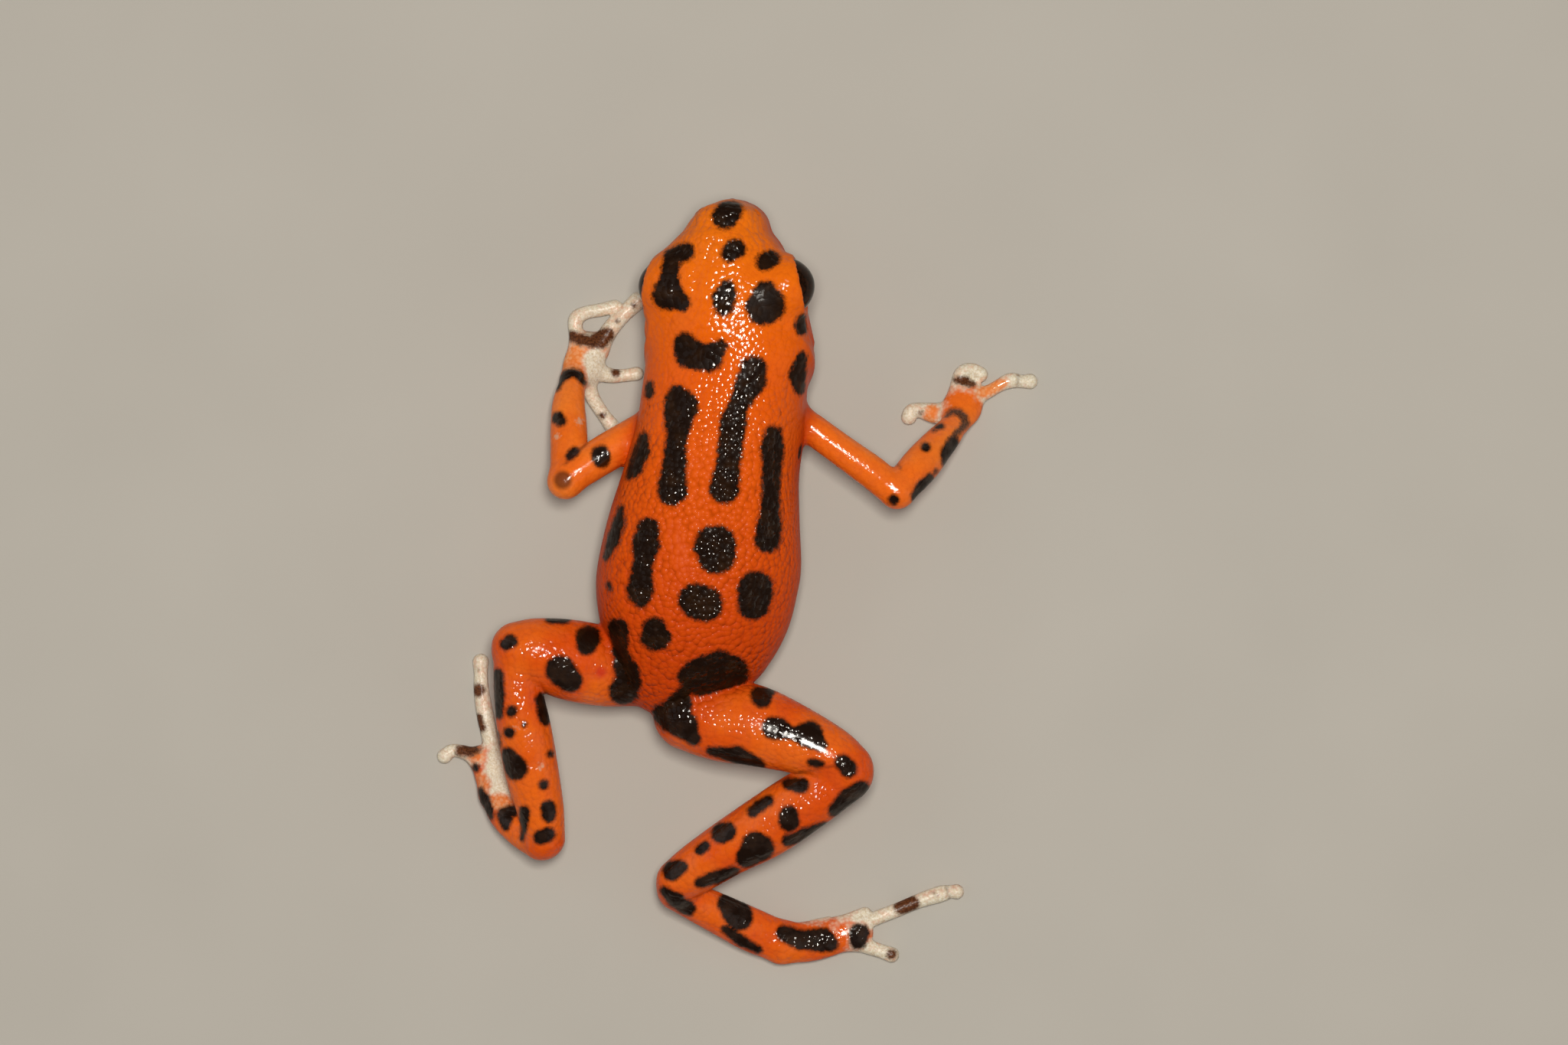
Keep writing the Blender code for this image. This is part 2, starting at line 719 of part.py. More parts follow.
def main():
    clear_scene()
    frog = bpy.data.collections.new("strawberry_poison_dart_frog")
    bpy.context.scene.collection.children.link(frog)

    torso = body_loft("torso", BODY[0][0], NECK_Y - GAP / 2)
    keep_largest(torso)
    finish(torso, frog, SKIN_ORANGE, 0.3)
    finish(head(), frog, SKIN_ORANGE, 0.3)
    finish(eye("eye_left", -1), frog, EYE_BLACK, 0.05)
    finish(eye("eye_right", 1), frog, EYE_BLACK, 0.05)

    limbs = [
        (
            "left",
            [
                ("upper_arm", UPPER_ARM_LEFT, None),
                ("forearm", FOREARM_LEFT, None),
                ("hand", PALM_LEFT, FINGERS_LEFT),
            ],
        ),
        (
            "right",
            [
                ("upper_arm", UPPER_ARM_RIGHT, None),
                ("forearm", FOREARM_RIGHT, None),
                ("hand", PALM_RIGHT, FINGERS_RIGHT),
            ],
        ),
        (
            "left",
            [
                ("thigh", THIGH_LEFT, None),
                ("shank", SHANK_LEFT, None),
                ("tarsus", TARSUS_LEFT, None),
                ("foot", SOLE_LEFT, TOES_LEFT),
            ],
        ),
        (
            "right",
            [
                ("thigh", THIGH_RIGHT, None),
                ("shank", SHANK_RIGHT, None),
                ("tarsus", TARSUS_RIGHT, None),
                ("foot", SOLE_RIGHT, TOES_RIGHT),
            ],
        ),
    ]
    for side, chain in limbs:
        parts = limb(side, chain)
        for part in parts[:-1]:
            finish(part, frog, LIMB_ORANGE, 0.3)
        finish(parts[-1], frog, FOOT_CREAM, 0.4)

    for part in frog.objects:
        print(part.name, "triangles:", len(part.data.polygons))


main()
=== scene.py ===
# %% [markdown]
# # A strawberry poison dart frog at life size
# The real frog is 20 mm long and wears one unbroken wet skin. The CAD model parts that skin into
# solids: trunk, head and the segments of each limb. This scene draws one skin over all of them, puts
# the eyes in it, and paints it. Lengths in the tables are millimetres, as in the CAD model, with +X
# to the frog's right, +Y to its snout and +Z up.

# %% Load the frame and keep its box
import math

import bmesh
import bpy
import numpy as np
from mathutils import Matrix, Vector
from mathutils.bvhtree import BVHTree


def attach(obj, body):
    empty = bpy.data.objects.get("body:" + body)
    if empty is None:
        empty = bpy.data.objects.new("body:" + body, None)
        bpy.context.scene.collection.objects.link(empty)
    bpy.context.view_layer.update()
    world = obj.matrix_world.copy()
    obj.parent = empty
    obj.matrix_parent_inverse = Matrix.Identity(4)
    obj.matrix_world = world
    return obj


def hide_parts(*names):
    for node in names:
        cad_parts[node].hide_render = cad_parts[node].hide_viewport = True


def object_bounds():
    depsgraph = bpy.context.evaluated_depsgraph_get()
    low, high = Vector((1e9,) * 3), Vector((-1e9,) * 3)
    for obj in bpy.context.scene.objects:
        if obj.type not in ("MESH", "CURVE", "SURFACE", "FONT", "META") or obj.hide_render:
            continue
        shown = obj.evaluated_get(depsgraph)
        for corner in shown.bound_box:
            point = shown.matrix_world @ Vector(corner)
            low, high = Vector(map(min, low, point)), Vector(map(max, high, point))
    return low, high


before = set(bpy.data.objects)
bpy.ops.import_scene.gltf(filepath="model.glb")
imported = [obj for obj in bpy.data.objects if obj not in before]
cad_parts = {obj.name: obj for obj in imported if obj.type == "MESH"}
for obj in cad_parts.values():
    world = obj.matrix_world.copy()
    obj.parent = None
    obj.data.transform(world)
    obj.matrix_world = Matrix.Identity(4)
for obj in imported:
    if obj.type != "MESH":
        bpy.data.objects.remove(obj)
cad_box = [list(corner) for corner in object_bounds()]
MM = 0.001
UP = np.array((0.0, 0.0, 1.0))
ORIGIN = np.array((-0.17, -0.04, 0.0))  # the middle of the outline, as the tables place it
print("nodes:", sorted(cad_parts))


def unit(vector):
    """The same direction at length one, for one vector or a row of them."""
    return vector / np.linalg.norm(vector, axis=-1, keepdims=True)


def smooth_rows(rows, steps):
    """Rows on a smooth curve through the given ones, steps to each span."""
    rows = np.array(rows, float)
    spans = len(rows) - 1
    padded = np.vstack([2 * rows[0] - rows[1], rows, 2 * rows[-1] - rows[-2]])
    made = []
    for place in np.linspace(0, spans, spans * steps + 1):
        i = min(int(place), spans - 1)
        u = place - i
        before, start, end, after = padded[i : i + 4]
        bend = 2 * before - 5 * start + 4 * end - after
        twist = 3 * start - before - 3 * end + after
        made.append(start + 0.5 * ((end - before) * u + bend * u**2 + twist * u**3))
    return np.array(made)


# %% [markdown]
# ## The frog's measurements
# These are the stations of the CAD model. The trunk and head are upright sections from the vent to
# the snout. A limb is a chain of tapering tubes, and a digit is a thin one. Reading the same tables
# as the CAD model keeps the skin where the solids are, so that the two agree from every side.

# %% Trunk and head
# y, middle x, half width, top z, bottom z, roll in degrees with the right side up
BODY = [
    (-5.20, -2.75, 0.35, 3.45, 2.75, -4),
    (-4.95, -2.65, 1.10, 4.00, 2.35, -4),
    (-4.50, -2.45, 1.85, 4.55, 1.95, -4),
    (-3.90, -2.12, 2.60, 5.15, 1.60, -5),
    (-2.90, -1.88, 3.14, 5.85, 1.20, -6),
    (-1.80, -1.79, 3.60, 6.40, 1.00, -6),
    (-0.60, -1.73, 3.86, 6.80, 0.92, -6),
    (0.60, -1.62, 3.93, 7.02, 0.90, -3),
    (2.40, -1.45, 3.70, 7.15, 1.00, 1),
    (4.10, -1.18, 3.42, 7.15, 1.20, 5),
    (5.90, -0.78, 3.26, 7.05, 1.50, 8),
    (7.40, -0.62, 3.18, 6.95, 1.85, 9),
    (8.60, -0.40, 3.26, 6.90, 2.20, 10),
    (10.00, -0.52, 3.14, 6.88, 2.60, 10),
    (11.30, -0.56, 2.80, 6.78, 2.90, 10),
    (12.50, -0.60, 2.35, 6.62, 3.12, 10),
    (13.00, -0.58, 2.08, 6.53, 3.20, 10),
    (13.45, -0.52, 1.68, 6.43, 3.30, 10),
    (14.00, -0.42, 1.40, 6.26, 3.46, 10),
    (14.40, -0.36, 0.96, 5.92, 3.68, 10),
    (14.62, -0.36, 0.48, 5.42, 4.05, 10),
]
WIDEST_AT = 0.42  # share of a section's height where it is widest
VENT_Y, SNOUT_Y = -5.32, 14.72

EYE_Y = 11.30
EYE_OUT = 2.25  # from the head's middle line
EYE_HEIGHT = 5.40
EYE_RADIUS = 1.18
EYE_FORWARD = 12  # degrees that an eye looks forward of straight sideways
EYE_DROP = 7  # degrees that it looks below the head's own level
HEAD_ROLL = 10
LID_RADIUS = 1.28

MOUTH_CENTRE = (-0.60, 10.60, 4.12)  # inside the head, where the rays to the mouth start
MOUTH_SWEEP = 112  # degrees from straight ahead to a corner
MOUTH_FALL = 0.40  # how much lower the corners lie
NOSTRIL_AIM = (0.72, 0.55, 0.12)  # out, forward and up
NOSTRIL_FROM = (-0.40, 13.35, 5.15)
EARDRUM_Y = 9.72
EARDRUM_Z = 4.85
EARDRUM_RADIUS = 0.42
EARDRUM_RISE = 0.12  # how far it faces up, to one step out
print("trunk and head:", len(BODY), "sections")

# %% Limbs: x, y, z, half width, half height from the body outwards
UPPER_ARM_LEFT = [
    (-2.95, 6.25, 3.00, 0.76, 0.74), (-4.10, 5.60, 3.10, 0.76, 0.72), (-5.25, 4.95, 3.35, 0.74, 0.70),
    (-6.25, 4.30, 3.50, 0.70, 0.66), (-6.80, 3.87, 3.55, 0.64, 0.62),
]
FOREARM_LEFT = [
    (-6.77, 3.90, 3.50, 0.62, 0.62), (-6.67, 4.90, 3.00, 0.71, 0.68), (-6.69, 5.90, 2.40, 0.71, 0.66),
    (-6.71, 6.90, 1.80, 0.63, 0.58), (-6.57, 7.80, 1.15, 0.48, 0.46),
]
PALM_LEFT = [
    (-6.55, 7.82, 0.98, 0.46, 0.44), (-6.23, 8.40, 0.60, 0.74, 0.46), (-5.97, 9.03, 0.40, 0.74, 0.43),
]
UPPER_ARM_RIGHT = [
    (1.83, 6.50, 3.60, 0.62, 0.66), (2.80, 5.85, 3.75, 0.60, 0.62), (3.90, 5.05, 3.75, 0.61, 0.60),
    (5.08, 4.20, 3.65, 0.64, 0.62), (5.97, 3.45, 3.55, 0.62, 0.60),
]
FOREARM_RIGHT = [
    (6.11, 3.54, 3.50, 0.62, 0.60), (6.56, 4.08, 3.20, 0.72, 0.66), (7.02, 4.60, 2.80, 0.74, 0.66),
    (7.53, 5.20, 2.25, 0.67, 0.60), (8.00, 5.72, 1.70, 0.58, 0.52), (8.33, 6.15, 1.20, 0.48, 0.46),
]
PALM_RIGHT = [
    (8.39, 6.24, 1.00, 0.48, 0.44), (8.61, 6.78, 0.66, 0.76, 0.46), (8.76, 7.26, 0.42, 0.60, 0.43),
]
THIGH_LEFT = [
    (-4.38, -3.32, 2.95, 1.50, 1.28), (-5.40, -3.25, 3.25, 1.56, 1.36),
    (-6.67, -3.00, 3.62, 1.55, 1.33), (-7.84, -2.70, 3.95, 1.30, 1.20),
    (-8.63, -2.50, 4.05, 0.95, 0.98),
]
SHANK_LEFT = [
    (-8.61, -2.65, 4.00, 0.92, 0.92), (-8.60, -4.15, 3.85, 0.94, 0.92),
    (-8.38, -5.63, 3.62, 1.04, 0.98), (-8.10, -7.28, 3.35, 1.04, 0.94),
    (-7.79, -8.70, 3.05, 0.92, 0.84), (-7.60, -9.94, 2.70, 0.78, 0.74),
]
TARSUS_LEFT = [
    (-7.82, -10.10, 2.40, 0.68, 0.66), (-8.49, -9.74, 1.95, 0.64, 0.60),
    (-9.15, -9.09, 1.40, 0.66, 0.56), (-9.51, -8.30, 0.90, 0.68, 0.54),
]
SOLE_LEFT = [
    (-9.52, -8.24, 0.78, 0.68, 0.54), (-9.76, -7.55, 0.60, 0.66, 0.50),
    (-10.00, -6.96, 0.42, 0.60, 0.44),
]
THIGH_RIGHT = [
    (-1.96, -5.09, 3.30, 1.45, 1.40), (-0.83, -5.32, 3.50, 1.60, 1.40), (0.50, -5.55, 3.80, 1.56, 1.32),
    (2.12, -6.08, 4.05, 1.30, 1.18), (3.42, -6.66, 4.20, 1.10, 1.05), (4.10, -7.16, 4.20, 0.98, 0.95),
]
SHANK_RIGHT = [
    (4.04, -7.49, 4.00, 1.00, 0.95), (2.55, -8.38, 3.75, 1.19, 1.02), (1.02, -9.41, 3.42, 1.22, 1.00),
    (-0.42, -10.26, 3.10, 1.09, 0.94), (-1.69, -11.08, 2.75, 0.98, 0.84),
    (-2.44, -11.60, 2.45, 0.86, 0.78),
]
TARSUS_RIGHT = [
    (-2.52, -12.04, 2.05, 0.73, 0.70), (-1.75, -12.49, 1.75, 0.73, 0.63),
    (-0.70, -13.03, 1.36, 0.80, 0.58), (0.49, -13.63, 1.02, 0.85, 0.55),
    (1.53, -14.06, 0.78, 0.80, 0.53),
]
SOLE_RIGHT = [
    (1.62, -14.09, 0.72, 0.80, 0.53), (2.73, -14.09, 0.58, 0.74, 0.50),
    (3.92, -13.86, 0.44, 0.62, 0.46), (4.58, -13.75, 0.38, 0.56, 0.42),
]

# %% Digits from palm or sole to tip: x, y, z, radius
FINGERS_LEFT = {
    "long": [
        (-6.33, 9.05, 0.42, 0.30), (-6.48, 9.78, 0.35, 0.28), (-6.45, 10.25, 0.32, 0.30),
        (-6.06, 10.49, 0.29, 0.26), (-5.47, 10.60, 0.25, 0.26), (-4.95, 10.72, 0.23, 0.27),
    ],
    "second": [
        (-5.60, 9.05, 0.42, 0.36), (-5.13, 9.83, 0.36, 0.34), (-4.63, 10.40, 0.31, 0.31),
        (-4.06, 10.94, 0.28, 0.35),
    ],
    "inner": [
        (-5.85, 8.24, 0.42, 0.38), (-5.15, 8.03, 0.32, 0.29), (-4.60, 8.03, 0.26, 0.25),
        (-4.10, 8.10, 0.23, 0.27),
    ],
    "hind": [
        (-6.06, 7.95, 0.48, 0.34), (-5.82, 7.17, 0.36, 0.28), (-5.41, 6.52, 0.29, 0.26),
        (-5.08, 6.07, 0.26, 0.30),
    ],
}
FINGERS_RIGHT = {
    "inner": [
        (8.11, 6.52, 0.50, 0.45), (7.52, 6.56, 0.43, 0.40), (6.92, 6.68, 0.33, 0.29),
        (6.62, 6.64, 0.28, 0.27), (6.53, 6.40, 0.26, 0.30),
    ],
    "second": [
        (8.50, 7.25, 0.44, 0.32), (8.47, 7.74, 0.36, 0.29), (8.65, 8.13, 0.32, 0.31),
        (9.00, 8.25, 0.27, 0.26), (9.32, 8.07, 0.26, 0.30),
    ],
    "long": [
        (9.00, 7.14, 0.44, 0.30), (9.60, 7.38, 0.38, 0.26), (10.08, 7.65, 0.33, 0.25),
        (10.50, 7.83, 0.30, 0.30), (10.95, 7.80, 0.25, 0.25), (11.26, 7.80, 0.25, 0.30),
    ],
    "short": [
        (8.65, 7.02, 0.38, 0.28), (8.89, 7.44, 0.28, 0.25), (9.10, 7.71, 0.22, 0.25),
    ],
}
TOES_LEFT = {
    "fourth": [
        (-9.73, -7.29, 0.46, 0.42), (-9.80, -6.31, 0.36, 0.32), (-10.01, -5.26, 0.33, 0.33),
        (-10.16, -4.31, 0.28, 0.30), (-10.19, -3.62, 0.26, 0.27), (-10.19, -3.16, 0.26, 0.32),
    ],
    "fifth": [
        (-10.24, -6.94, 0.42, 0.34), (-10.80, -6.70, 0.33, 0.27), (-11.30, -6.62, 0.26, 0.25),
        (-11.61, -6.84, 0.25, 0.29),
    ],
    "third": [
        (-9.56, -7.29, 0.42, 0.34), (-9.11, -6.76, 0.30, 0.27), (-8.87, -6.01, 0.26, 0.26),
        (-8.76, -5.36, 0.23, 0.27),
    ],
    "second": [
        (-9.47, -7.68, 0.40, 0.34), (-8.87, -7.39, 0.27, 0.26), (-8.45, -6.97, 0.22, 0.26),
    ],
    "first": [
        (-9.35, -8.04, 0.40, 0.34), (-8.81, -8.05, 0.27, 0.26), (-8.38, -7.90, 0.22, 0.26),
    ],
}
TOES_RIGHT = {
    "fourth": [
        (4.22, -13.60, 0.44, 0.36), (5.12, -13.21, 0.36, 0.28), (5.96, -12.89, 0.31, 0.27),
        (6.91, -12.50, 0.28, 0.28), (7.75, -12.23, 0.27, 0.32), (8.15, -12.14, 0.24, 0.25),
        (8.39, -12.14, 0.25, 0.29),
    ],
    "fifth": [
        (4.16, -13.99, 0.40, 0.34), (5.00, -14.30, 0.31, 0.29), (5.46, -14.46, 0.27, 0.27),
        (5.85, -14.60, 0.25, 0.30),
    ],
    "third": [
        (3.68, -13.54, 0.42, 0.32), (4.34, -13.18, 0.36, 0.27), (4.82, -13.01, 0.24, 0.27),
    ],
    "second": [
        (3.09, -13.60, 0.36, 0.30), (3.81, -13.36, 0.27, 0.25), (4.24, -13.20, 0.22, 0.25),
    ],
    "first": [
        (2.43, -13.66, 0.36, 0.30), (3.00, -13.46, 0.27, 0.25), (3.39, -13.36, 0.22, 0.25),
    ],
}
print("digits:", sum(len(digits) for digits in (FINGERS_LEFT, FINGERS_RIGHT, TOES_LEFT, TOES_RIGHT)))

# %% [markdown]
# ## A skin drawn as a distance
# A frog's skin runs from trunk to toe without a seam, and swells softly where one form meets the
# next. Joining meshes leaves a hard line at each joint. Here the frog is a function instead: it
# gives any point in space its distance to the skin, negative inside. Two forms melt into one by a
# smooth minimum, and a groove or a hollow is a smooth maximum. The mesh is drawn where it is zero.

# %% Blending distances
FAR = 9.0  # a distance too great to matter
LEAST_FILLET = 0.03
FULL_WITHIN = 0.35  # share of a fillet's reach in which it keeps its full width


def melt(first, second, width):
    """The union of two forms, with a fillet about as wide as width where they meet."""
    overlap = np.maximum(width - np.abs(first - second), 0) / width
    return np.minimum(first, second) - overlap**2 * width / 4


def carve(first, second, width):
    """The part of the first form that is outside the second, with a rounded edge."""
    return -melt(-first, second, width)


def fade(value, start, end):
    """Rises smoothly from 0 at start to 1 at end."""
    share = np.clip((value - start) / (end - start), 0, 1)
    return share * share * (3 - 2 * share)


def nearby(points, place, reach, most):
    """A fillet width that is most at a joint and next to nothing beyond its reach."""
    away = np.linalg.norm(points - place, axis=1)
    return LEAST_FILLET + most * (1 - fade(away, reach * FULL_WITHIN, reach))


def within(points, low, high):
    """Which points lie in the box from low to high."""
    return np.all((points > low) & (points < high), axis=1)


def beside_spans(points, start, step):
    """For each point and each straight span: the share along the span, and the squared gap to it."""
    length2 = (step**2).sum(1)
    lead = points @ step.T - (start * step).sum(1)
    along = np.clip(lead / length2, 0, 1)
    gap2 = (points**2).sum(1)[:, None] - 2 * points @ start.T + (start**2).sum(1)
    return along, gap2 + along * (along * length2 - 2 * lead)


# %% The trunk as a distance
def trunk_table():
    """Sections with squared sizes, which run to zero at vent and snout as a rounded end does."""
    curve = smooth_rows(BODY, 8)
    y, middle, half, top, bottom, roll = curve.T
    widest = bottom + WIDEST_AT * (top - bottom)
    squares = [y, middle, half**2, widest, (top - widest) ** 2, (widest - bottom) ** 2, roll]
    table = np.array(squares).T
    first, last = table[0].copy(), table[-1].copy()
    first[[0, 2, 4, 5]] = VENT_Y, 0, 0, 0
    last[[0, 2, 4, 5]] = SNOUT_Y, 0, 0, 0
    return np.vstack([first, table, last])


TRUNK = trunk_table()
HALF = np.sqrt(TRUNK[:, 2])
TRUNK_SLOPE = np.abs(np.gradient(HALF, TRUNK[:, 0]))
SQUARENESS = ((-5, 8, 11, 13, 14.8), (2.2, 2.3, 2.5, 2.4, 2.1))  # y, and the power of the oval there
LEAST_SQUARE = 1e-4
STEEPEST_LEAN = 3


def trunk_frame(points):
    """Where points lie in their own section: outwards, upwards, and the section's half sizes."""
    y = np.clip(points[:, 1], VENT_Y, SNOUT_Y)
    middle, half2, widest, over2, under2, roll = (
        np.interp(y, TRUNK[:, 0], TRUNK[:, k]) for k in range(1, 7)
    )
    tilt = np.radians(roll)
    dx, dz = points[:, 0] - middle, points[:, 2] - widest
    out = dx * np.cos(tilt) + dz * np.sin(tilt)
    up = dz * np.cos(tilt) - dx * np.sin(tilt)
    rise = np.sqrt(np.maximum(np.where(up > 0, over2, under2), LEAST_SQUARE))
    return y, out, up, np.sqrt(np.maximum(half2, LEAST_SQUARE)), rise


def trunk_distance(points):
    """Distance to trunk and head, without eyelids, lips and limbs."""
    y, out, up, half, rise = trunk_frame(points)
    power = np.interp(y, *SQUARENESS)
    a, b = np.abs(out) / half, np.abs(up) / rise
    size = (a**power + b**power + 1e-12) ** (1 / power)
    steep = size ** (1 - power) * np.hypot(a ** (power - 1) / half, b ** (power - 1) / rise)
    lean = np.hypot(1, np.minimum(np.interp(y, TRUNK[:, 0], TRUNK_SLOPE), STEEPEST_LEAN))
    flat = (size - 1) / np.maximum(steep, 1e-3) / lean
    beyond = np.abs(points[:, 1] - y)
    return np.hypot(np.maximum(flat, 0), beyond) + np.minimum(flat, 0)


print("widest half of the trunk:", round(float(HALF.max()), 2), "mm")


# %% A limb segment or digit as a distance
class Tube:
    """A rounded limb of oval section along a smooth line."""

    def __init__(self, rows, steps=6):
        rows = smooth_rows([(*row, row[3]) if len(row) == 4 else row for row in rows], steps)
        ahead = unit(np.gradient(rows[:, :3], axis=0))
        self.start = np.hstack([rows[:-1], ahead[:-1]])
        self.step = np.hstack([rows[1:], ahead[1:]]) - self.start
        self.first, self.last = rows[0, :3], rows[-1, :3]
        self.low = (rows[:, :3] - rows[:, 3:4]).min(axis=0)
        self.high = (rows[:, :3] + rows[:, 3:4]).max(axis=0)

    def nearest(self, points):
        """The tube's row beside each point: place, half sizes and direction."""
        along, gap2 = beside_spans(points, self.start[:, :3], self.step[:, :3])
        radius = self.start[:, 3] + along * self.step[:, 3]
        best = np.argmin(np.sqrt(np.maximum(gap2, 0)) - radius, axis=1)
        share = along[np.arange(len(points)), best][:, None]
        return self.start[best] + share * self.step[best]

    def distance(self, points, margin=0.9):
        """Distance to the tube, or FAR where it is further than the margin from its box."""
        found = np.full(len(points), FAR)
        near = within(points, self.low - margin, self.high + margin)
        if not near.any():
            return found
        row = self.nearest(points[near])
        offset = points[near] - row[:, :3]
        ahead = unit(row[:, 5:8])
        across = unit(np.cross(ahead, UP))
        over = np.cross(across, ahead)
        sizes = np.stack([row[:, 3], row[:, 4], row[:, 3]], axis=1)
        parts = np.stack([(offset * side).sum(1) for side in (across, over, ahead)], axis=1)
        size = np.linalg.norm(parts / sizes, axis=1)
        steep = np.linalg.norm(parts / sizes**2, axis=1)
        found[near] = size * (size - 1) / np.maximum(steep, 1e-6)
        return found


# %% The four limbs
JOINT_REACH = 2.0
KNUCKLE_REACH, KNUCKLE_FILLET = 1.3, 0.26
LIMB_MARGIN = 1.0  # how far round a limb its distance is worked out


class Limb:
    """A chain of tubes with its digits, melted together at the joints and into the trunk."""

    def __init__(self, segments, digits, root_reach, root_fillet, joint_fillet):
        self.segments = [Tube(rows) for rows in segments]
        self.digits = {key: Tube(rows, 5) for key, rows in digits.items()}
        self.root = self.segments[0].first
        self.root_reach, self.root_fillet = root_reach, root_fillet
        self.joint_fillet = joint_fillet
        every = [*self.segments, *self.digits.values()]
        self.low = np.min([tube.low for tube in every], axis=0) - LIMB_MARGIN
        self.high = np.max([tube.high for tube in every], axis=0) + LIMB_MARGIN

    def distance(self, points):
        """Distance to the whole limb with its digits."""
        whole = self.segments[0].distance(points)
        for before, after in zip(self.segments, self.segments[1:]):
            joint = (before.last + after.first) / 2
            width = nearby(points, joint, JOINT_REACH, self.joint_fillet)
            whole = melt(whole, after.distance(points), width)
        for digit in self.digits.values():
            width = nearby(points, digit.first, KNUCKLE_REACH, KNUCKLE_FILLET)
            whole = melt(whole, digit.distance(points), width)
        return whole


LIMBS = {  # segments, digits, reach and width of the fillet at the body, width of those at the joints
    "arm_left": Limb([UPPER_ARM_LEFT, FOREARM_LEFT, PALM_LEFT], FINGERS_LEFT, 2.6, 0.35, 0.28),
    "arm_right": Limb([UPPER_ARM_RIGHT, FOREARM_RIGHT, PALM_RIGHT], FINGERS_RIGHT, 2.6, 0.35, 0.28),
    "leg_left": Limb([THIGH_LEFT, SHANK_LEFT, TARSUS_LEFT, SOLE_LEFT], TOES_LEFT, 3.4, 0.2, 0.3),
    "leg_right": Limb([THIGH_RIGHT, SHANK_RIGHT, TARSUS_RIGHT, SOLE_RIGHT], TOES_RIGHT, 3.4, 0.2, 0.3),
}
print("limbs:", ", ".join(f"{name} of {len(limb.segments)} segments" for name, limb in LIMBS.items()))

# %% [markdown]
# ## The head
# The eye of this frog is a large black ball that stands out of the head's side under a full lid, so
# that from above only a rim of it shows. The mouth is a fine line round the snout between two thin
# lips, and the nostrils are small pits near the tip. They could be sculpted on the finished mesh, but
# as terms of the distance they blend into the head and keep their place when a table changes. The
# lids are a dome melted into the head, with an oval opening carved round the direction in which the
# eye looks.

# %% Eyes and lids
def head_direction(out, forward, up):
    """A direction in the rolled head as a direction in the frog's frame."""
    tilt = math.radians(HEAD_ROLL)
    level = out * math.cos(tilt) - up * math.sin(tilt)
    return np.array((level, forward, out * math.sin(tilt) + up * math.cos(tilt)))


def eye_frame(side):
    """Centre of an eye, where it looks, and the directions forward and up across its front."""
    middle = np.interp(EYE_Y, TRUNK[:, 0], TRUNK[:, 1])
    centre = np.array((middle, EYE_Y, EYE_HEIGHT)) + head_direction(side * EYE_OUT, 0, 0)
    forward, drop = math.radians(EYE_FORWARD), math.radians(EYE_DROP)
    level = math.cos(drop)
    axis = head_direction(side * math.cos(forward) * level, math.sin(forward) * level, -math.sin(drop))
    ahead = head_direction(0, 1, 0)
    ahead = unit(ahead - axis * (ahead @ axis))
    over = np.cross(axis, ahead) * -side
    return centre, axis, ahead, over * np.sign(over[2])


EYES = {"eye_left": eye_frame(-1), "eye_right": eye_frame(1)}
OPENING = math.radians(57)  # half the angle of the opening between the lids
OPENING_LONG = 1.20  # its length along the head over its height
CORNER_PULL = 0.10
LID_DEPTH = 0.8  # from the eye's middle to the bottom of the hollow between the lids
LID_FILLET, LID_EDGE = 0.55, 0.07  # how softly the lid's dome leaves the head, and its rim's rounding


def lid_opening(points, eye):
    """Distance to the hollow between the lids, negative in it."""
    centre, axis, ahead, over = eye
    offset = points - centre
    out, along, high = offset @ axis, offset @ ahead, offset @ over
    pinch = 1 + CORNER_PULL * np.abs(along)
    angle = np.arctan2(np.hypot(along / OPENING_LONG, high * pinch), out)
    away = np.linalg.norm(offset, axis=1)
    return np.maximum((angle - OPENING) * away, LID_DEPTH - away)


# %% Mouth, nostrils and eardrums
def on_trunk(starts, directions, furthest=8.0, halvings=26):
    """Where rays from inside the trunk meet its surface."""
    starts = np.atleast_2d(np.array(starts, float))
    directions = unit(np.atleast_2d(np.array(directions, float)))
    near, far = np.zeros(len(starts)), np.full(len(starts), furthest)
    for _ in range(halvings):
        half = (near + far) / 2
        inside = trunk_distance(starts + directions * half[:, None]) < 0
        near, far = np.where(inside, half, near), np.where(inside, far, half)
    return starts + directions * near[:, None]


def mouth_path(rise, count=41):
    """Points along the mouth from corner to corner, raised by rise."""
    degrees = np.linspace(-MOUTH_SWEEP, MOUTH_SWEEP, count)
    fall = MOUTH_FALL * (degrees / MOUTH_SWEEP) ** 2
    starts = np.array(MOUTH_CENTRE) + np.outer(rise - fall, UP)
    angles = np.radians(degrees)
    directions = [head_direction(math.sin(a), math.cos(a), 0) for a in angles]
    return on_trunk(starts, directions)


class Line:
    """A broken line on the skin, for folds, grooves and lips."""

    def __init__(self, path, width):
        self.path, self.width = np.array(path, float), width
        self.low = self.path.min(axis=0) - 3 * width
        self.high = self.path.max(axis=0) + 3 * width

    def away(self, points):
        """Distance to the line, or FAR where it has no effect."""
        found = np.full(len(points), FAR)
        near = within(points, self.low, self.high)
        if near.any():
            gap2 = beside_spans(points[near], self.path[:-1], np.diff(self.path, axis=0))[1]
            found[near] = np.sqrt(np.maximum(gap2.min(axis=1), 0))
        return found

    def bump(self, points):
        """1 on the line, falling to 0 over its width."""
        return np.exp(-((self.away(points) / self.width) ** 2))


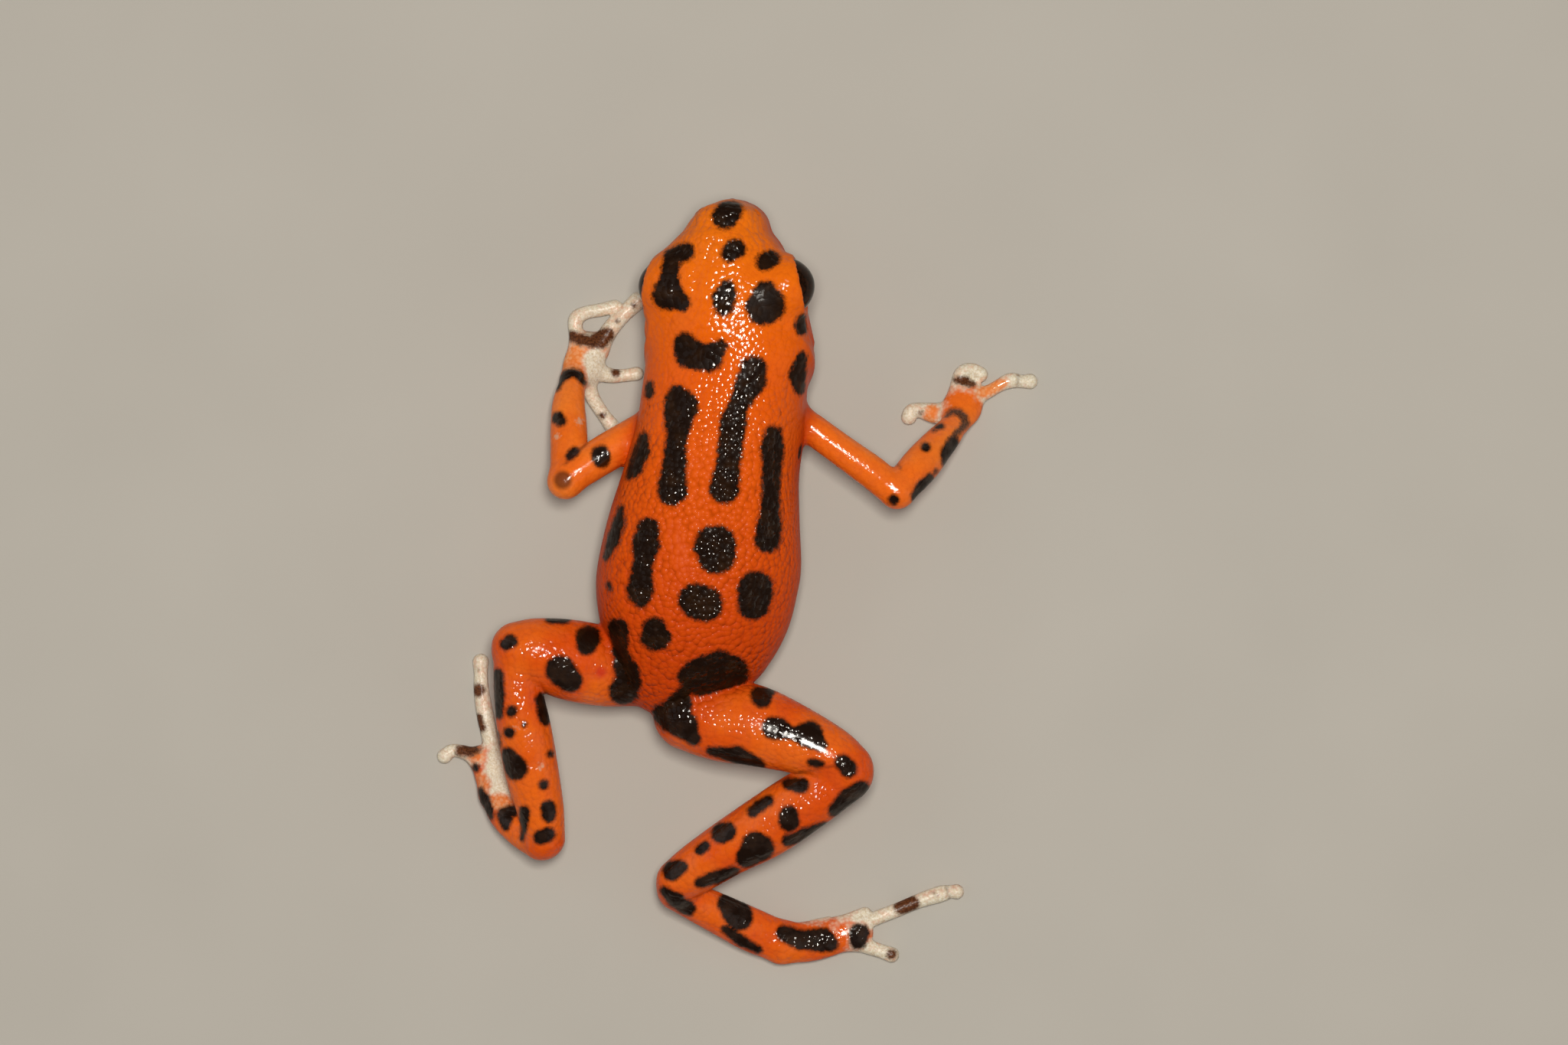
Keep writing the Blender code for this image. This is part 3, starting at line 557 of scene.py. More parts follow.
MOUTH = Line(mouth_path(0), 0.16)
MOUTH_DEPTH, MOUTH_EDGE = 0.085, 0.10
LIPS = [Line(mouth_path(rise), 0.15) for rise in (0.20, -0.20)]
LIP_SWELL = 0.05
NOSTRIL_RIM, NOSTRIL_PIT = 0.09, 0.13  # radii
NOSTRIL_FILLET, NOSTRIL_EDGE = 0.25, 0.08
EARDRUM_RIM, EARDRUM_SINK = 0.035, 0.03  # how far its edge stands up and its middle lies low
EARDRUM_RIM_WIDTH, EARDRUM_SINK_WIDTH = 0.22, 0.6  # in shares of its radius
sides = (-1, 1)  # left and right
out, forward, rise = NOSTRIL_AIM
NOSTRILS = [on_trunk(NOSTRIL_FROM, head_direction(side * out, forward, rise))[0] for side in sides]
ear_start = (np.interp(EARDRUM_Y, TRUNK[:, 0], TRUNK[:, 1]), EARDRUM_Y, EARDRUM_Z)
EARDRUMS = [on_trunk(ear_start, head_direction(side, 0, EARDRUM_RISE))[0] for side in sides]
print("nostrils at", np.round(NOSTRILS, 2).tolist())


# %% [markdown]
# ## Folds
# Skin folds where a frog bends: behind the eye and over the eardrum down to the arm, and across
# the throat. Low ridges run along the back to the vent, over the crown, across the snout and over
# the left lid. A bump in the material would be less work, but no outline would show it. Here each
# is a line on the skin beside which the distance grows or shrinks a little, so that it is real form
# in the mesh and holds from every side.

# %% Folds and the low relief of the back
def trunk_line(stations, width):
    """A line over the trunk through stations of y and degrees round it, 0 right and 90 on top."""
    path = []
    for y, degrees in smooth_rows(stations, 5):
        middle, widest = (np.interp(y, TRUNK[:, 0], TRUNK[:, k]) for k in (1, 3))
        angle = math.radians(degrees)
        direction = head_direction(math.cos(angle), 0, math.sin(angle))
        path.append(on_trunk((middle, y, widest), direction)[0])
    return Line(path, width)


def right_and_left(stations, width, height):
    """Two folds that mirror each other, from the right one's stations."""
    mirrored = [(y, 180 - degrees) for y, degrees in stations]
    return [(trunk_line(stations, width), height), (trunk_line(mirrored, width), height)]


FOLDS = [  # line, and how far it stands up from the skin
    *right_and_left([(10.4, 24), (9.9, 30), (9.2, 20), (8.4, 2), (7.6, -16)], 0.17, 0.07),
    *right_and_left([(10.1, 8), (9.4, 2), (8.6, -12), (7.9, -30)], 0.12, -0.05),
    (trunk_line([(8.3, -25), (8.0, -60), (7.9, -90), (8.0, -120), (8.3, -155)], 0.22), -0.10),
    (trunk_line([(7.3, -30), (7.0, -60), (6.9, -90), (7.0, -120), (7.3, -150)], 0.30), 0.06),
    (trunk_line([(0.8, 91), (-1.5, 92), (-3.4, 93), (-4.6, 94)], 0.55), 0.07),
    (trunk_line([(3.5, 90), (6.0, 90), (8.5, 90)], 0.60), -0.05),
    (trunk_line([(12.9, 102), (11.5, 102), (10.0, 101)], 1.20), 0.20),
    (trunk_line([(12.6, 64), (11.5, 63), (10.6, 63)], 0.55), 0.07),
    (trunk_line([(12.10, 140), (11.6, 140), (11.1, 140)], 0.56), 0.42),
    (trunk_line([(12.0, 119), (11.25, 119)], 0.25), 0.45),
    (trunk_line([(14.15, 118), (14.22, 90), (14.15, 62)], 0.42), 0.16),
    *right_and_left([(6.8, 48), (3.5, 44), (0.5, 46), (-1.5, 52)], 0.70, 0.05),
]
print("folds and ridges:", len(FOLDS))


# %% The whole frog as a distance
HEAD_FROM_Y = 9.0
FLOOR_EDGE = 0.05  # rounding where a hand or foot meets the floor


def head_and_trunk(points):
    """Distance to trunk and head with lids, lips, nostrils, eardrums and folds."""
    whole = trunk_distance(points)
    front = points[:, 1] > HEAD_FROM_Y
    some = points[front]
    head = whole[front]
    for eye in EYES.values():
        head = melt(head, np.linalg.norm(some - eye[0], axis=1) - LID_RADIUS, LID_FILLET)
    for place in NOSTRILS:
        head = melt(head, np.linalg.norm(some - place, axis=1) - NOSTRIL_RIM, NOSTRIL_FILLET)
    whole[front] = head
    for line, height in FOLDS:
        whole -= height * line.bump(points)
    whole -= LIP_SWELL * sum(lip.bump(points) for lip in LIPS)
    whole = carve(whole, MOUTH.away(points) - MOUTH_DEPTH, MOUTH_EDGE)
    head = whole[front]
    for place in NOSTRILS:
        head = carve(head, np.linalg.norm(some - place, axis=1) - NOSTRIL_PIT, NOSTRIL_EDGE)
    for place in EARDRUMS:
        ring = np.linalg.norm(some - place, axis=1) / EARDRUM_RADIUS
        head += EARDRUM_RIM * np.exp(-(((ring - 1) / EARDRUM_RIM_WIDTH) ** 2))
        head -= EARDRUM_SINK * np.exp(-((ring / EARDRUM_SINK_WIDTH) ** 2))
    for eye in EYES.values():
        head = carve(head, lid_opening(some, eye), LID_EDGE)
    whole[front] = head
    return whole


def frog_distance(points):
    """Distance to the whole skin, cut flat where hands and feet rest on the floor."""
    skin = head_and_trunk(points)
    for limb in LIMBS.values():
        near = within(points, limb.low, limb.high)
        if near.any():
            some = points[near]
            width = nearby(some, limb.root, limb.root_reach, limb.root_fillet)
            skin[near] = melt(skin[near], limb.distance(some), width)
    return carve(skin, points[:, 2], FLOOR_EDGE)


# %% [markdown]
# ## From distance to mesh
# Marching over a grid and joining one point per crossed cell gives an even mesh of four-sided faces,
# which shades more smoothly than triangles. The grid is closer at the head and at floor level, where
# lips and digits are small. The points are then moved onto the exact surface and evened out.

# %% Grid lines
COARSE = 1.0
MARGIN = 0.3  # of the grid round the CAD model's box


def grid_line(stations):
    """Places along one axis from stations of (place, spacing), the spacing changing smoothly."""
    places, spacing = np.array(stations, float).T
    line = [places[0]]
    while line[-1] < places[-1]:
        line.append(line[-1] + COARSE * np.interp(line[-1], places, spacing))
    return np.array(line)


low = np.array(cad_box[0]) / MM + ORIGIN - MARGIN
high = np.array(cad_box[1]) / MM + ORIGIN + MARGIN
LINES = (  # along x, y and z: places, each with the spacing there
    grid_line([(low[0], 0.115), (high[0], 0.115)]),
    grid_line([(low[1], 0.115), (8.5, 0.115), (10, 0.095), (high[1], 0.09)]),
    grid_line([(-0.2, 0.08), (0.8, 0.085), (1.6, 0.12), (3.0, 0.11), (4.6, 0.10), (high[2], 0.12)]),
)
print("grid of", " by ".join(str(len(line)) for line in LINES))


def grid_points(lines):
    """Every crossing of the grid lines, one row each."""
    return np.stack(np.meshgrid(*lines, indexing="ij"), axis=-1).reshape(-1, 3)


# %% Sample the distance and draw its surface
def sampled(lines, block=5, close=1.0):
    """The distance at each grid point, worked out in full only in blocks that the skin may cross."""
    shape = tuple(len(line) for line in lines)
    padded = [np.append(line, [line[-1]] * (-len(line) % block)) for line in lines]
    middles = [line.reshape(-1, block).mean(axis=1) for line in padded]
    field = frog_distance(grid_points(middles)).reshape([len(line) for line in middles])
    for axis in range(3):
        field = np.repeat(field, block, axis=axis)
    field = field[: shape[0], : shape[1], : shape[2]].reshape(-1).copy()
    near = np.abs(field) < close
    field[near] = frog_distance(grid_points(lines)[near])
    print("worked out", int(near.sum()), "of", len(field), "grid points")
    return field.reshape(shape)


def crossing_points(lines, index):
    """Where the grid's crossings with these index rows lie."""
    return np.stack([line[index[:, k]] for k, line in enumerate(lines)], axis=1)


def surface_net(field, lines):
    """Points and four-sided faces of the surface where the field is zero."""
    inside = field < 0
    cells = tuple(n - 1 for n in field.shape)
    count = np.zeros(cells, np.int8)
    for corner in np.ndindex(2, 2, 2):
        count += inside[tuple(slice(c, c + n) for c, n in zip(corner, cells))]
    crossed = (count > 0) & (count < 8)
    index = np.full(cells, -1)
    index[crossed] = np.arange(crossed.sum())
    where = np.argwhere(crossed)
    total, hits = np.zeros((len(where), 3)), np.zeros(len(where))
    quads = []
    for axis in range(3):
        u, v = (axis + 1) % 3, (axis + 2) % 3
        for du, dv in np.ndindex(2, 2):
            start = where.copy()
            start[:, u] += du
            start[:, v] += dv
            end = start.copy()
            end[:, axis] += 1
            a, b = field[tuple(start.T)], field[tuple(end.T)]
            cross = (a < 0) != (b < 0)
            share = (a / np.where(cross, a - b, 1))[:, None]
            from_point, to_point = crossing_points(lines, start), crossing_points(lines, end)
            total[cross] += (from_point + share * (to_point - from_point))[cross]
            hits += cross
        lower = np.take(inside, range(field.shape[axis] - 1), axis=axis)
        upper = np.take(inside, range(1, field.shape[axis]), axis=axis)
        edges = np.argwhere(lower != upper)
        leaving = lower[tuple(edges.T)]
        ring = []
        for du, dv in ((1, 1), (0, 1), (0, 0), (1, 0)):
            cell = edges.copy()
            cell[:, u] -= du
            cell[:, v] -= dv
            ring.append(index[tuple(cell.T)])
        ring = np.stack(ring, axis=1)
        ring[~leaving] = ring[~leaving][:, ::-1]
        quads.append(ring)
    return total / hits[:, None], np.vstack(quads)


skin_points, skin_faces = surface_net(sampled(LINES), LINES)
print("skin:", len(skin_points), "points,", len(skin_faces), "faces")


# %% Move the points onto the surface and even them out
def slope_at(points, step=0.01):
    """How fast the distance grows along each axis at each point."""
    slope = np.empty_like(points)
    for axis in range(3):
        shift = np.zeros(3)
        shift[axis] = step
        slope[:, axis] = frog_distance(points + shift) - frog_distance(points - shift)
    return slope / (2 * step)


def settle(points, most=0.08, least_slope2=0.05):
    """Moves points to the surface by one step of the rule of tangents, at most so far."""
    value, slope = frog_distance(points), slope_at(points)
    steep = np.maximum((slope**2).sum(1), least_slope2)
    move = -slope * (value / steep)[:, None]
    length = np.maximum(np.linalg.norm(move, axis=1), 1e-9)
    return points + move * np.minimum(1, most / length)[:, None]


def evened(points, faces, share=0.5):
    """Moves each point part of the way to the mean of its neighbours."""
    total, count = np.zeros_like(points), np.zeros(len(points))
    for k in range(4):
        here, there = faces[:, k], faces[:, (k + 1) % 4]
        for a, b in ((here, there), (there, here)):
            for axis in range(3):
                total[:, axis] += np.bincount(a, points[b, axis], len(points))
            count += np.bincount(a, minlength=len(points))
    return points + share * (total / count[:, None] - points)


skin_points = settle(skin_points)
for _ in range(2):
    skin_points = settle(evened(skin_points, skin_faces))
skin_points = settle(skin_points)
print("mean distance left:", round(float(np.abs(frog_distance(skin_points)).mean()), 4), "mm")


# %% Make the skin's object
def as_metres(points):
    """Points of the tables in metres from the part's origin."""
    return (np.asarray(points) - ORIGIN) * MM


def mesh_object(name, points, faces):
    """A smooth object of the scene from points in millimetres and faces."""
    mesh = bpy.data.meshes.new(name)
    mesh.from_pydata(as_metres(points).tolist(), [], [list(map(int, face)) for face in faces])
    mesh.shade_smooth()
    made = bpy.data.objects.new(name, mesh)
    bpy.context.scene.collection.objects.link(made)
    return made


skin = mesh_object("skin", skin_points, skin_faces)
FLESH = [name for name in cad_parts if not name.startswith("eye")]
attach(skin, "root")
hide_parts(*FLESH)
print("the skin stands for", len(FLESH), "nodes")


# %% [markdown]
# ## Markings
# The black spots differ on every frog, and are what tells two of them apart. Each is written down as
# a short chain of round blots at the place where the photograph shows it. The chain is dropped from
# the camera onto the skin, and each point of the skin then stores its distance to the nearest blot.
# The material cuts that distance with a little noise, so that an edge stays crisp however close one
# looks, which a painted grid of points would not.

# %% The camera, and how its pixels meet the skin
PIXEL = 0.0295  # millimetres of frog to a pixel, at the height of its middle
VIEW_HEIGHT = 274.0
VIEW_LEVEL = 4.0  # the height at which a pixel is that wide
VIEW_PLACE = np.array((1.652, 2.286, VIEW_HEIGHT))
LIMB_LEVEL = 3.4  # height at which an aim past the edge of a form looks for the nearest skin
FRAME_WIDE, FRAME_HIGH = 2048, 1365
SENSOR = 36

camera_data = bpy.data.cameras.new("camera")
camera_data.sensor_width = SENSOR
camera_data.lens = SENSOR * (VIEW_HEIGHT - VIEW_LEVEL) / (FRAME_WIDE * PIXEL)
camera_data.clip_start, camera_data.clip_end = 0.01, 10
camera = bpy.data.objects.new("camera", camera_data)
camera.location = as_metres(VIEW_PLACE)
bpy.context.scene.collection.objects.link(camera)
bpy.context.scene.camera = camera
print("lens:", round(camera_data.lens, 1), "mm")
skin_tree = BVHTree.FromPolygons(skin_points.tolist(), skin_faces.tolist())


def on_skin(pixel_x, pixel_y):
    """The point of the skin that the camera sees at a pixel, or the skin's point nearest to it."""
    scale = PIXEL / (VIEW_HEIGHT - VIEW_LEVEL)
    aim = Vector(((pixel_x - FRAME_WIDE / 2) * scale, -(pixel_y - FRAME_HIGH / 2) * scale, -1))
    hit = skin_tree.ray_cast(Vector(VIEW_PLACE), aim.normalized())[0]
    if hit is None:
        hit = skin_tree.find_nearest(Vector(VIEW_PLACE) + aim * (VIEW_HEIGHT - LIMB_LEVEL))[0]
    return np.array(hit)


# %% Distance to chains of blots
BLEED = 0.045  # how far a blot's ink spreads past the radius it was written down with
BLOT_FILLET = 0.08
DEPTH = np.array((1.0, 1.0, 0.35))  # a blot that is round from above runs on down a steep side


def blot_distance(points, chain):
    """Distance to a chain of round blots given as rows of x, y, z, radius."""
    chain = np.array(chain, float)
    if len(chain) == 1:
        return np.linalg.norm(points - chain[0, :3], axis=1) - chain[0, 3]
    best = np.full(len(points), FAR)
    for start, end in zip(chain, chain[1:]):
        ab = end[:3] - start[:3]
        share = np.clip((points - start[:3]) @ ab / max(ab @ ab, 1e-9), 0, 1)
        radius = start[3] + share * (end[3] - start[3])
        gap = np.linalg.norm(points - start[:3] - share[:, None] * ab, axis=1) - radius
        best = melt(best, gap, BLOT_FILLET)
    return best


def marked(points, chains, reach=1.2, margin=1.68):
    """The nearest distance to any of the chains, each given as rows of pixel x, pixel y, radius."""
    best = np.full(len(points), reach)
    flat = points * DEPTH
    for chain in chains:
        rows = np.array([(*(on_skin(x, y) * DEPTH), radius * PIXEL) for x, y, radius in chain])
        near = within(flat, rows[:, :3].min(axis=0) - margin, rows[:, :3].max(axis=0) + margin)
        if near.any():
            best[near] = np.minimum(best[near], blot_distance(flat[near], rows))
    return best


# %% Where the black spots are
BODY_SPOTS = [
    [(954, 274, 16), (947, 283, 16)], [(953, 330, 11), (961, 325, 12)],
    [(999, 342, 11), (1007, 338, 11)],
    [(894, 329, 12), (879, 335, 11), (874, 362, 11), (873, 384, 20), (890, 395, 11)],
    [(950, 377, 10), (946, 389, 14), (945, 400, 12)],
    [(1000, 381, 13), (1000, 398, 24), (996, 402, 21)],
    [(895, 450, 15), (901, 461, 19), (915, 466, 16), (926, 467, 17), (941, 452, 8)],
    [(984, 483, 17), (981, 498, 18), (964, 530, 12), (958, 549, 16), (951, 608, 15), (946, 638, 19)],
    [(885, 519, 15), (889, 532, 22), (887, 542, 19), (883, 576, 12), (878, 640, 19)],
    [(1048, 419, 8), (1047, 427, 10)], [(1047, 467, 7), (1042, 490, 12), (1045, 506, 9)],
    [(848, 504, 6), (847, 513, 7)],
    [
        (1010, 567, 11), (1009, 586, 15), (1009, 600, 13), (1006, 667, 12), (1005, 686, 16),
        (1003, 704, 17),
    ],
    [(840, 573, 8), (836, 590, 13), (828, 612, 11), (822, 621, 6)],
    [(811, 666, 5), (808, 683, 9), (800, 705, 10), (792, 726, 6)],
    [(846, 691, 14), (843, 711, 18), (839, 741, 12), (836, 772, 17), (837, 784, 10)],
    [(795, 764, 3), (796, 769, 3)], [(932, 713, 25), (936, 725, 23), (938, 710, 22)],
    [(909, 785, 22), (921, 789, 22)], [(987, 770, 23), (985, 788, 21)],
    [(855, 822, 15), (856, 830, 20)],
    [(901, 884, 15), (914, 882, 23), (940, 872, 22), (957, 878, 20), (969, 886, 9)],
    [(903, 893, 14), (920, 902, 9), (938, 896, 10), (955, 892, 9)],
]
LIMB_SPOTS = [
    [(784, 593, 11), (786, 600, 11)], [(728, 546, 8), (732, 550, 7)], [(750, 590, 6), (744, 596, 5)],
    [(1167, 653, 6.5)], [(1214, 627, 8), (1204, 640, 11), (1197, 648, 8)],
    [(1246, 580, 8), (1240, 592, 12), (1236, 602, 8)], [(1209, 584, 6)],
    [(1229, 557, 4), (1224, 558, 3)], [(1220, 562, 2)], [(1222, 616, 3)],
    [(768, 833, 16), (766, 842, 13)], [(732, 876, 19), (744, 889, 16)], [(719, 809, 6), (737, 809, 7)],
    [(660, 842, 7), (666, 838, 9)], [(650, 882, 8), (651, 908, 8), (651, 933, 6)],
    [(708, 914, 9), (713, 938, 9)], [(668, 929, 7)], [(685, 946, 3)], [(665, 957, 7)],
    [(664, 988, 11), (673, 1003, 16)], [(710, 1025, 6)], [(716, 1055, 9), (717, 1065, 9)],
    [(706, 1094, 9), (716, 1090, 9)], [(719, 985, 4)], [(996, 909, 15), (1006, 903, 6)],
    [(1010, 951, 14), (1018, 952, 13), (1034, 958, 7), (1057, 960, 17), (1072, 974, 8)],
    [(1060, 996, 5), (1072, 998, 4)], [(1101, 996, 10), (1108, 1004, 11)],
    [(928, 981, 5), (964, 988, 13), (990, 999, 9)], [(1029, 1024, 7), (1046, 1026, 10)],
    [(983, 1060, 7), (992, 1053, 7), (1003, 1046, 7)], [(1030, 1065, 12), (1031, 1073, 13)],
    [(942, 1088, 13), (949, 1086, 12)], [(986, 1104, 17), (993, 1108, 17), (977, 1120, 15)],
    [(914, 1110, 6), (921, 1105, 6)], [(878, 1137, 13), (889, 1133, 9)],
    [(1092, 1058, 10), (1108, 1043, 13), (1124, 1033, 13)],
    [(1030, 1098, 8), (1052, 1091, 10), (1076, 1078, 9)],
    [(915, 1153, 7), (936, 1146, 9), (958, 1139, 8)],
    [(868, 1164, 6), (882, 1176, 11), (898, 1187, 10)],
    [(950, 1180, 13), (962, 1192, 18), (966, 1198, 17)],
    [(948, 1214, 6), (966, 1228, 7), (990, 1241, 5)],
    [(1024, 1219, 10), (1046, 1228, 12), (1075, 1228, 15), (1085, 1233, 10)],
    [(1122, 1220, 13), (1121, 1229, 11)], [(656, 1063, 7), (668, 1060, 8)],
    [(660, 1070, 10), (661, 1080, 5)], [(685, 1060, 7), (683, 1078, 6), (682, 1095, 3)],
    [(628, 1034, 5), (633, 1046, 7), (638, 1057, 6), (642, 1068, 3)], [(621, 1003, 5)],
    [(728, 507, 4), (732, 496, 6), (740, 489, 6), (749, 487, 5), (757, 490, 5), (762, 499, 4)],
]
HIP_SPOTS = [  # these cross from the rump to a thigh
    [(807, 823, 15), (810, 852, 10), (819, 877, 16), (821, 889, 16), (815, 903, 19)],
    [(864, 934, 13), (880, 936, 23), (893, 948, 18), (906, 965, 9)], [(893, 905, 9), (888, 918, 16)],
]
# Blots on the sides and the underside, which the photograph hides: x, y, z of a point near the skin
# and the radius in millimetres
HIDDEN_SPOTS = [
    [(2.2, 3.0, 2.6, 0.45), (2.2, 2.2, 2.5, 0.5)], [(2.3, 0.0, 2.9, 0.5), (2.2, -0.9, 2.8, 0.4)],
    [(2.0, -2.3, 2.2, 0.42)], [(2.3, 5.0, 4.6, 0.3)], [(-4.6, 3.8, 2.2, 0.45), (-4.9, 3.0, 2.0, 0.4)],
    [(-5.3, 0.9, 2.6, 0.5)], [(-5.2, -0.8, 2.0, 0.45)], [(-3.4, 8.9, 3.6, 0.35), (-3.4, 8.2, 3.4, 0.3)],
    [(2.3, 8.3, 3.4, 0.3)], [(-2.4, 4.6, 1.2, 0.5), (-2.0, 3.7, 1.0, 0.45)], [(0.2, 3.4, 1.2, 0.45)],
    [(-1.2, 1.6, 0.9, 0.5), (-0.6, 1.2, 0.9, 0.4)], [(-3.2, 0.6, 1.0, 0.5)],
    [(0.6, -0.6, 1.2, 0.45), (0.9, -1.3, 1.3, 0.4)], [(-1.8, -1.6, 0.9, 0.4)], [(-3.3, -2.4, 1.3, 0.4)],
    [(-0.6, 10.6, 2.7, 0.35)], [(-1.6, 12.0, 3.0, 0.28)], [(0.7, 11.4, 3.1, 0.3)],
    [(-6.2, -3.4, 2.4, 0.5)], [(-7.9, -5.4, 2.4, 0.35)], [(-8.1, -8.0, 1.3, 0.35)],
    [(0.6, -5.8, 2.4, 0.5)], [(3.0, -6.9, 3.1, 0.35)], [(0.9, -9.2, 2.1, 0.4)], [(-5.0, 5.2, 2.6, 0.3)],
    [(4.4, 4.6, 3.0, 0.25)], [(7.2, 5.3, 1.7, 0.25)],
]


def settled_chain(chain):
    """A hidden chain with its blots moved onto the skin."""
    return [(*skin_tree.find_nearest(Vector(row[:3]))[0], row[3]) for row in chain]


# %% How near each point of the skin is to a black spot
LIMB_GAP = np.min([limb.distance(skin_points) for limb in LIMBS.values()], axis=0)
TRUNK_GAP = trunk_distance(skin_points)
crease = TRUNK_GAP - LIMB_GAP  # negative on the trunk, positive on a limb
spot = np.maximum(marked(skin_points, BODY_SPOTS) - BLEED, crease)
spot = np.minimum(spot, np.maximum(marked(skin_points, LIMB_SPOTS) - BLEED, -crease))
spot = np.minimum(spot, marked(skin_points, HIP_SPOTS) - BLEED)
for chain in HIDDEN_SPOTS:
    spot = np.minimum(spot, blot_distance(skin_points, settled_chain(chain)))
print("share of the skin that is black:", round(float((spot < 0).mean()), 3))

# %% [markdown]
# ## Hands and feet
# Past the wrist and ankle the orange gives way to a pale, chalky grey-cream, crossed by brown bands
# at the joints of the digits. A gradient down each limb would give a straight border, and the real
# one is ragged and differs from limb to limb. So its limits are chains of blots too, and a digit's
# own distance keeps it pale all round, also where the camera doesn't see it.

# %% Pale digits and their brown bands
PALE = [
    [(778, 470, 17), (782, 495, 18), (795, 492, 12)], [(760, 444, 10), (785, 444, 12)],
    [(1190, 540, 11), (1212, 541, 6)], [(1262, 494, 13), (1280, 488, 12)], [(1290, 510, 6)],
    [(1320, 497, 11), (1345, 496, 12)], [(652, 985, 17), (650, 1010, 19), (654, 1030, 16)],
    [(636, 940, 14), (640, 960, 15)], [(1118, 1199, 8), (1140, 1195, 12)],
]
WARM = [
    [(622, 988, 9)], [(630, 1018, 7), (634, 1026, 8)], [(640, 1046, 9), (660, 1046, 9)],
    [(745, 475, 12), (752, 458, 10)], [(1285, 512, 9), (1303, 503, 8), (1308, 501, 7)],
    [(1218, 536, 8), (1214, 546, 8)],
]
KEPT_ORANGE = [[(1099, 1213, 8), (1102, 1233, 7)], [(1253, 520, 10), (1268, 520, 8)]]
BANDS = [
    [(748, 440, 8), (758, 443, 8), (774, 447, 8), (784, 443, 12), (793, 437, 10)],
    [(626, 936, 4), (628, 950, 6), (628, 962, 8)], [(602, 981, 8), (612, 979, 10), (622, 974, 7)],
    [
        (1236, 544, 2.5), (1243, 538, 4), (1251, 538, 5), (1258, 544, 5.5), (1261, 554, 5.5),
        (1261, 566, 4),
    ],
    [(828, 399, 4)], [(806, 419, 3)], [(804, 487, 6)], [(787, 543, 4)],
    [(1250, 496, 5), (1260, 498, 5.5), (1270, 502, 5)], [(1203, 539, 2.5)], [(625, 902, 9)],
    [(1178, 1184, 11), (1190, 1180, 11)], [(1153, 1233, 4)], [(1165, 1247, 7)],
]
FAINT = [[(735, 627, 12)], [(777, 408, 6)], [(770, 434, 6)]]  # brown that is only breathed on
# small pale cream patches on the limbs
PALE_PATCHES = [[(757, 550, 5)], [(727, 570, 3)], [(674, 950, 3)], [(706, 1000, 5)], [(722, 984, 3)]]
ROSY = [[(785, 878, 6)]]
DULL = [
    [(1002, 398, 24)], [(762, 846, 22)], [(880, 690, 10), (890, 740, 10)], [(733, 628, 9)],
    [(761, 607, 6), (771, 600, 7)], [(799, 584, 8), (812, 576, 8)],
]
# Painted shade: these creases, the mouth's line and the nostril pits are painted darker, as shade falls
# in them.
CREASE_SHADE_LINES = [  # where a bent limb presses skin on skin, and the lines across the digits' joints
    [(1000, 1018, 0), (1045, 1009, 0), (1090, 1000, 0)], [(766, 580, 0), (752, 592, 0), (738, 606, 0)],
    [(1166, 600, 0), (1177, 612, 0)], [(624, 875, 0), (640, 875, 0)],
    [(1219, 1166, 0), (1223, 1182, 0)], [(1236, 1160, 0), (1240, 1174, 0)],
    [(1330, 490, 0), (1330, 503, 0)],
]


# %% What each point of the skin keeps for the material
DIGIT_SKIN = 0.12  # how far the pale skin reaches past a digit into the hand or foot
# painted shade: how far it reaches round a nostril, and how dark and how wide it is along a crease
NOSTRIL_SHADE = 0.17
CREASE_SHADE, CREASE_SHADE_WIDTH = 0.8, 0.12


def digit_distance(points, root_from=0.1, root_to=0.5):
    """Distance to the nearest digit, past its root, for any point."""
    best = np.full(len(points), FAR)
    for limb in LIMBS.values():
        for digit in limb.digits.values():
            gap = digit.distance(points, margin=0.6)
            some = gap < FAR
            root = np.linalg.norm(points[some] - digit.first, axis=1)
            gap[some] += root_to * (1 - fade(root, root_from, root_to))
            best = np.minimum(best, gap)
    return best


DIGIT_GAP = digit_distance(skin_points)
LONG_BONES = [tube for limb in LIMBS.values() for tube in limb.segments[:-1]]
BONE_GAP = np.min([tube.distance(skin_points, margin=1.5) for tube in LONG_BONES], axis=0)

signs = {"warm": WARM, "band": BANDS, "faint": FAINT, "worn": PALE_PATCHES, "rosy": ROSY, "dull": DULL}
kept = {name: marked(skin_points, chains) for name, chains in signs.items()}
pale = np.maximum(DIGIT_GAP - DIGIT_SKIN, DIGIT_GAP - BONE_GAP)
pale = np.minimum(marked(skin_points, PALE), pale)
pale = np.maximum(pale, np.maximum(-kept["warm"], -marked(skin_points, KEPT_ORANGE)))
limbness = fade(crease, -0.1, 0.9)
_, _, up, _, rise = trunk_frame(skin_points)
height = up / rise  # -1 under the belly, 0 where the trunk is widest, 1 on the back
# Painted shade: the flanks and the belly are darkened, as they face away from the lamp beside the
# camera.
flank = fade(height, 0.70, -0.30) * (1 - limbness)
side = fade(height, 0.75, 0.15) * fade(height, -0.95, -0.35) * (1 - limbness)
normals = np.empty(len(skin_points) * 3, np.float32)
skin.data.vertices.foreach_get("normal", normals)
steep = fade(normals[2::3], 0.85, 0.45) * fade(normals[2::3], -0.2, 0.1)
# painted shade in the mouth's line, the nostril pits and the creases, fading outwards
groove = np.maximum(1 - MOUTH.away(skin_points) / MOUTH.width, 0)
for place in NOSTRILS:
    groove = np.maximum(groove, 1 - np.linalg.norm(skin_points - place, axis=1) / NOSTRIL_SHADE)
groove = np.maximum(groove, CREASE_SHADE - marked(skin_points, CREASE_SHADE_LINES) / CREASE_SHADE_WIDTH)

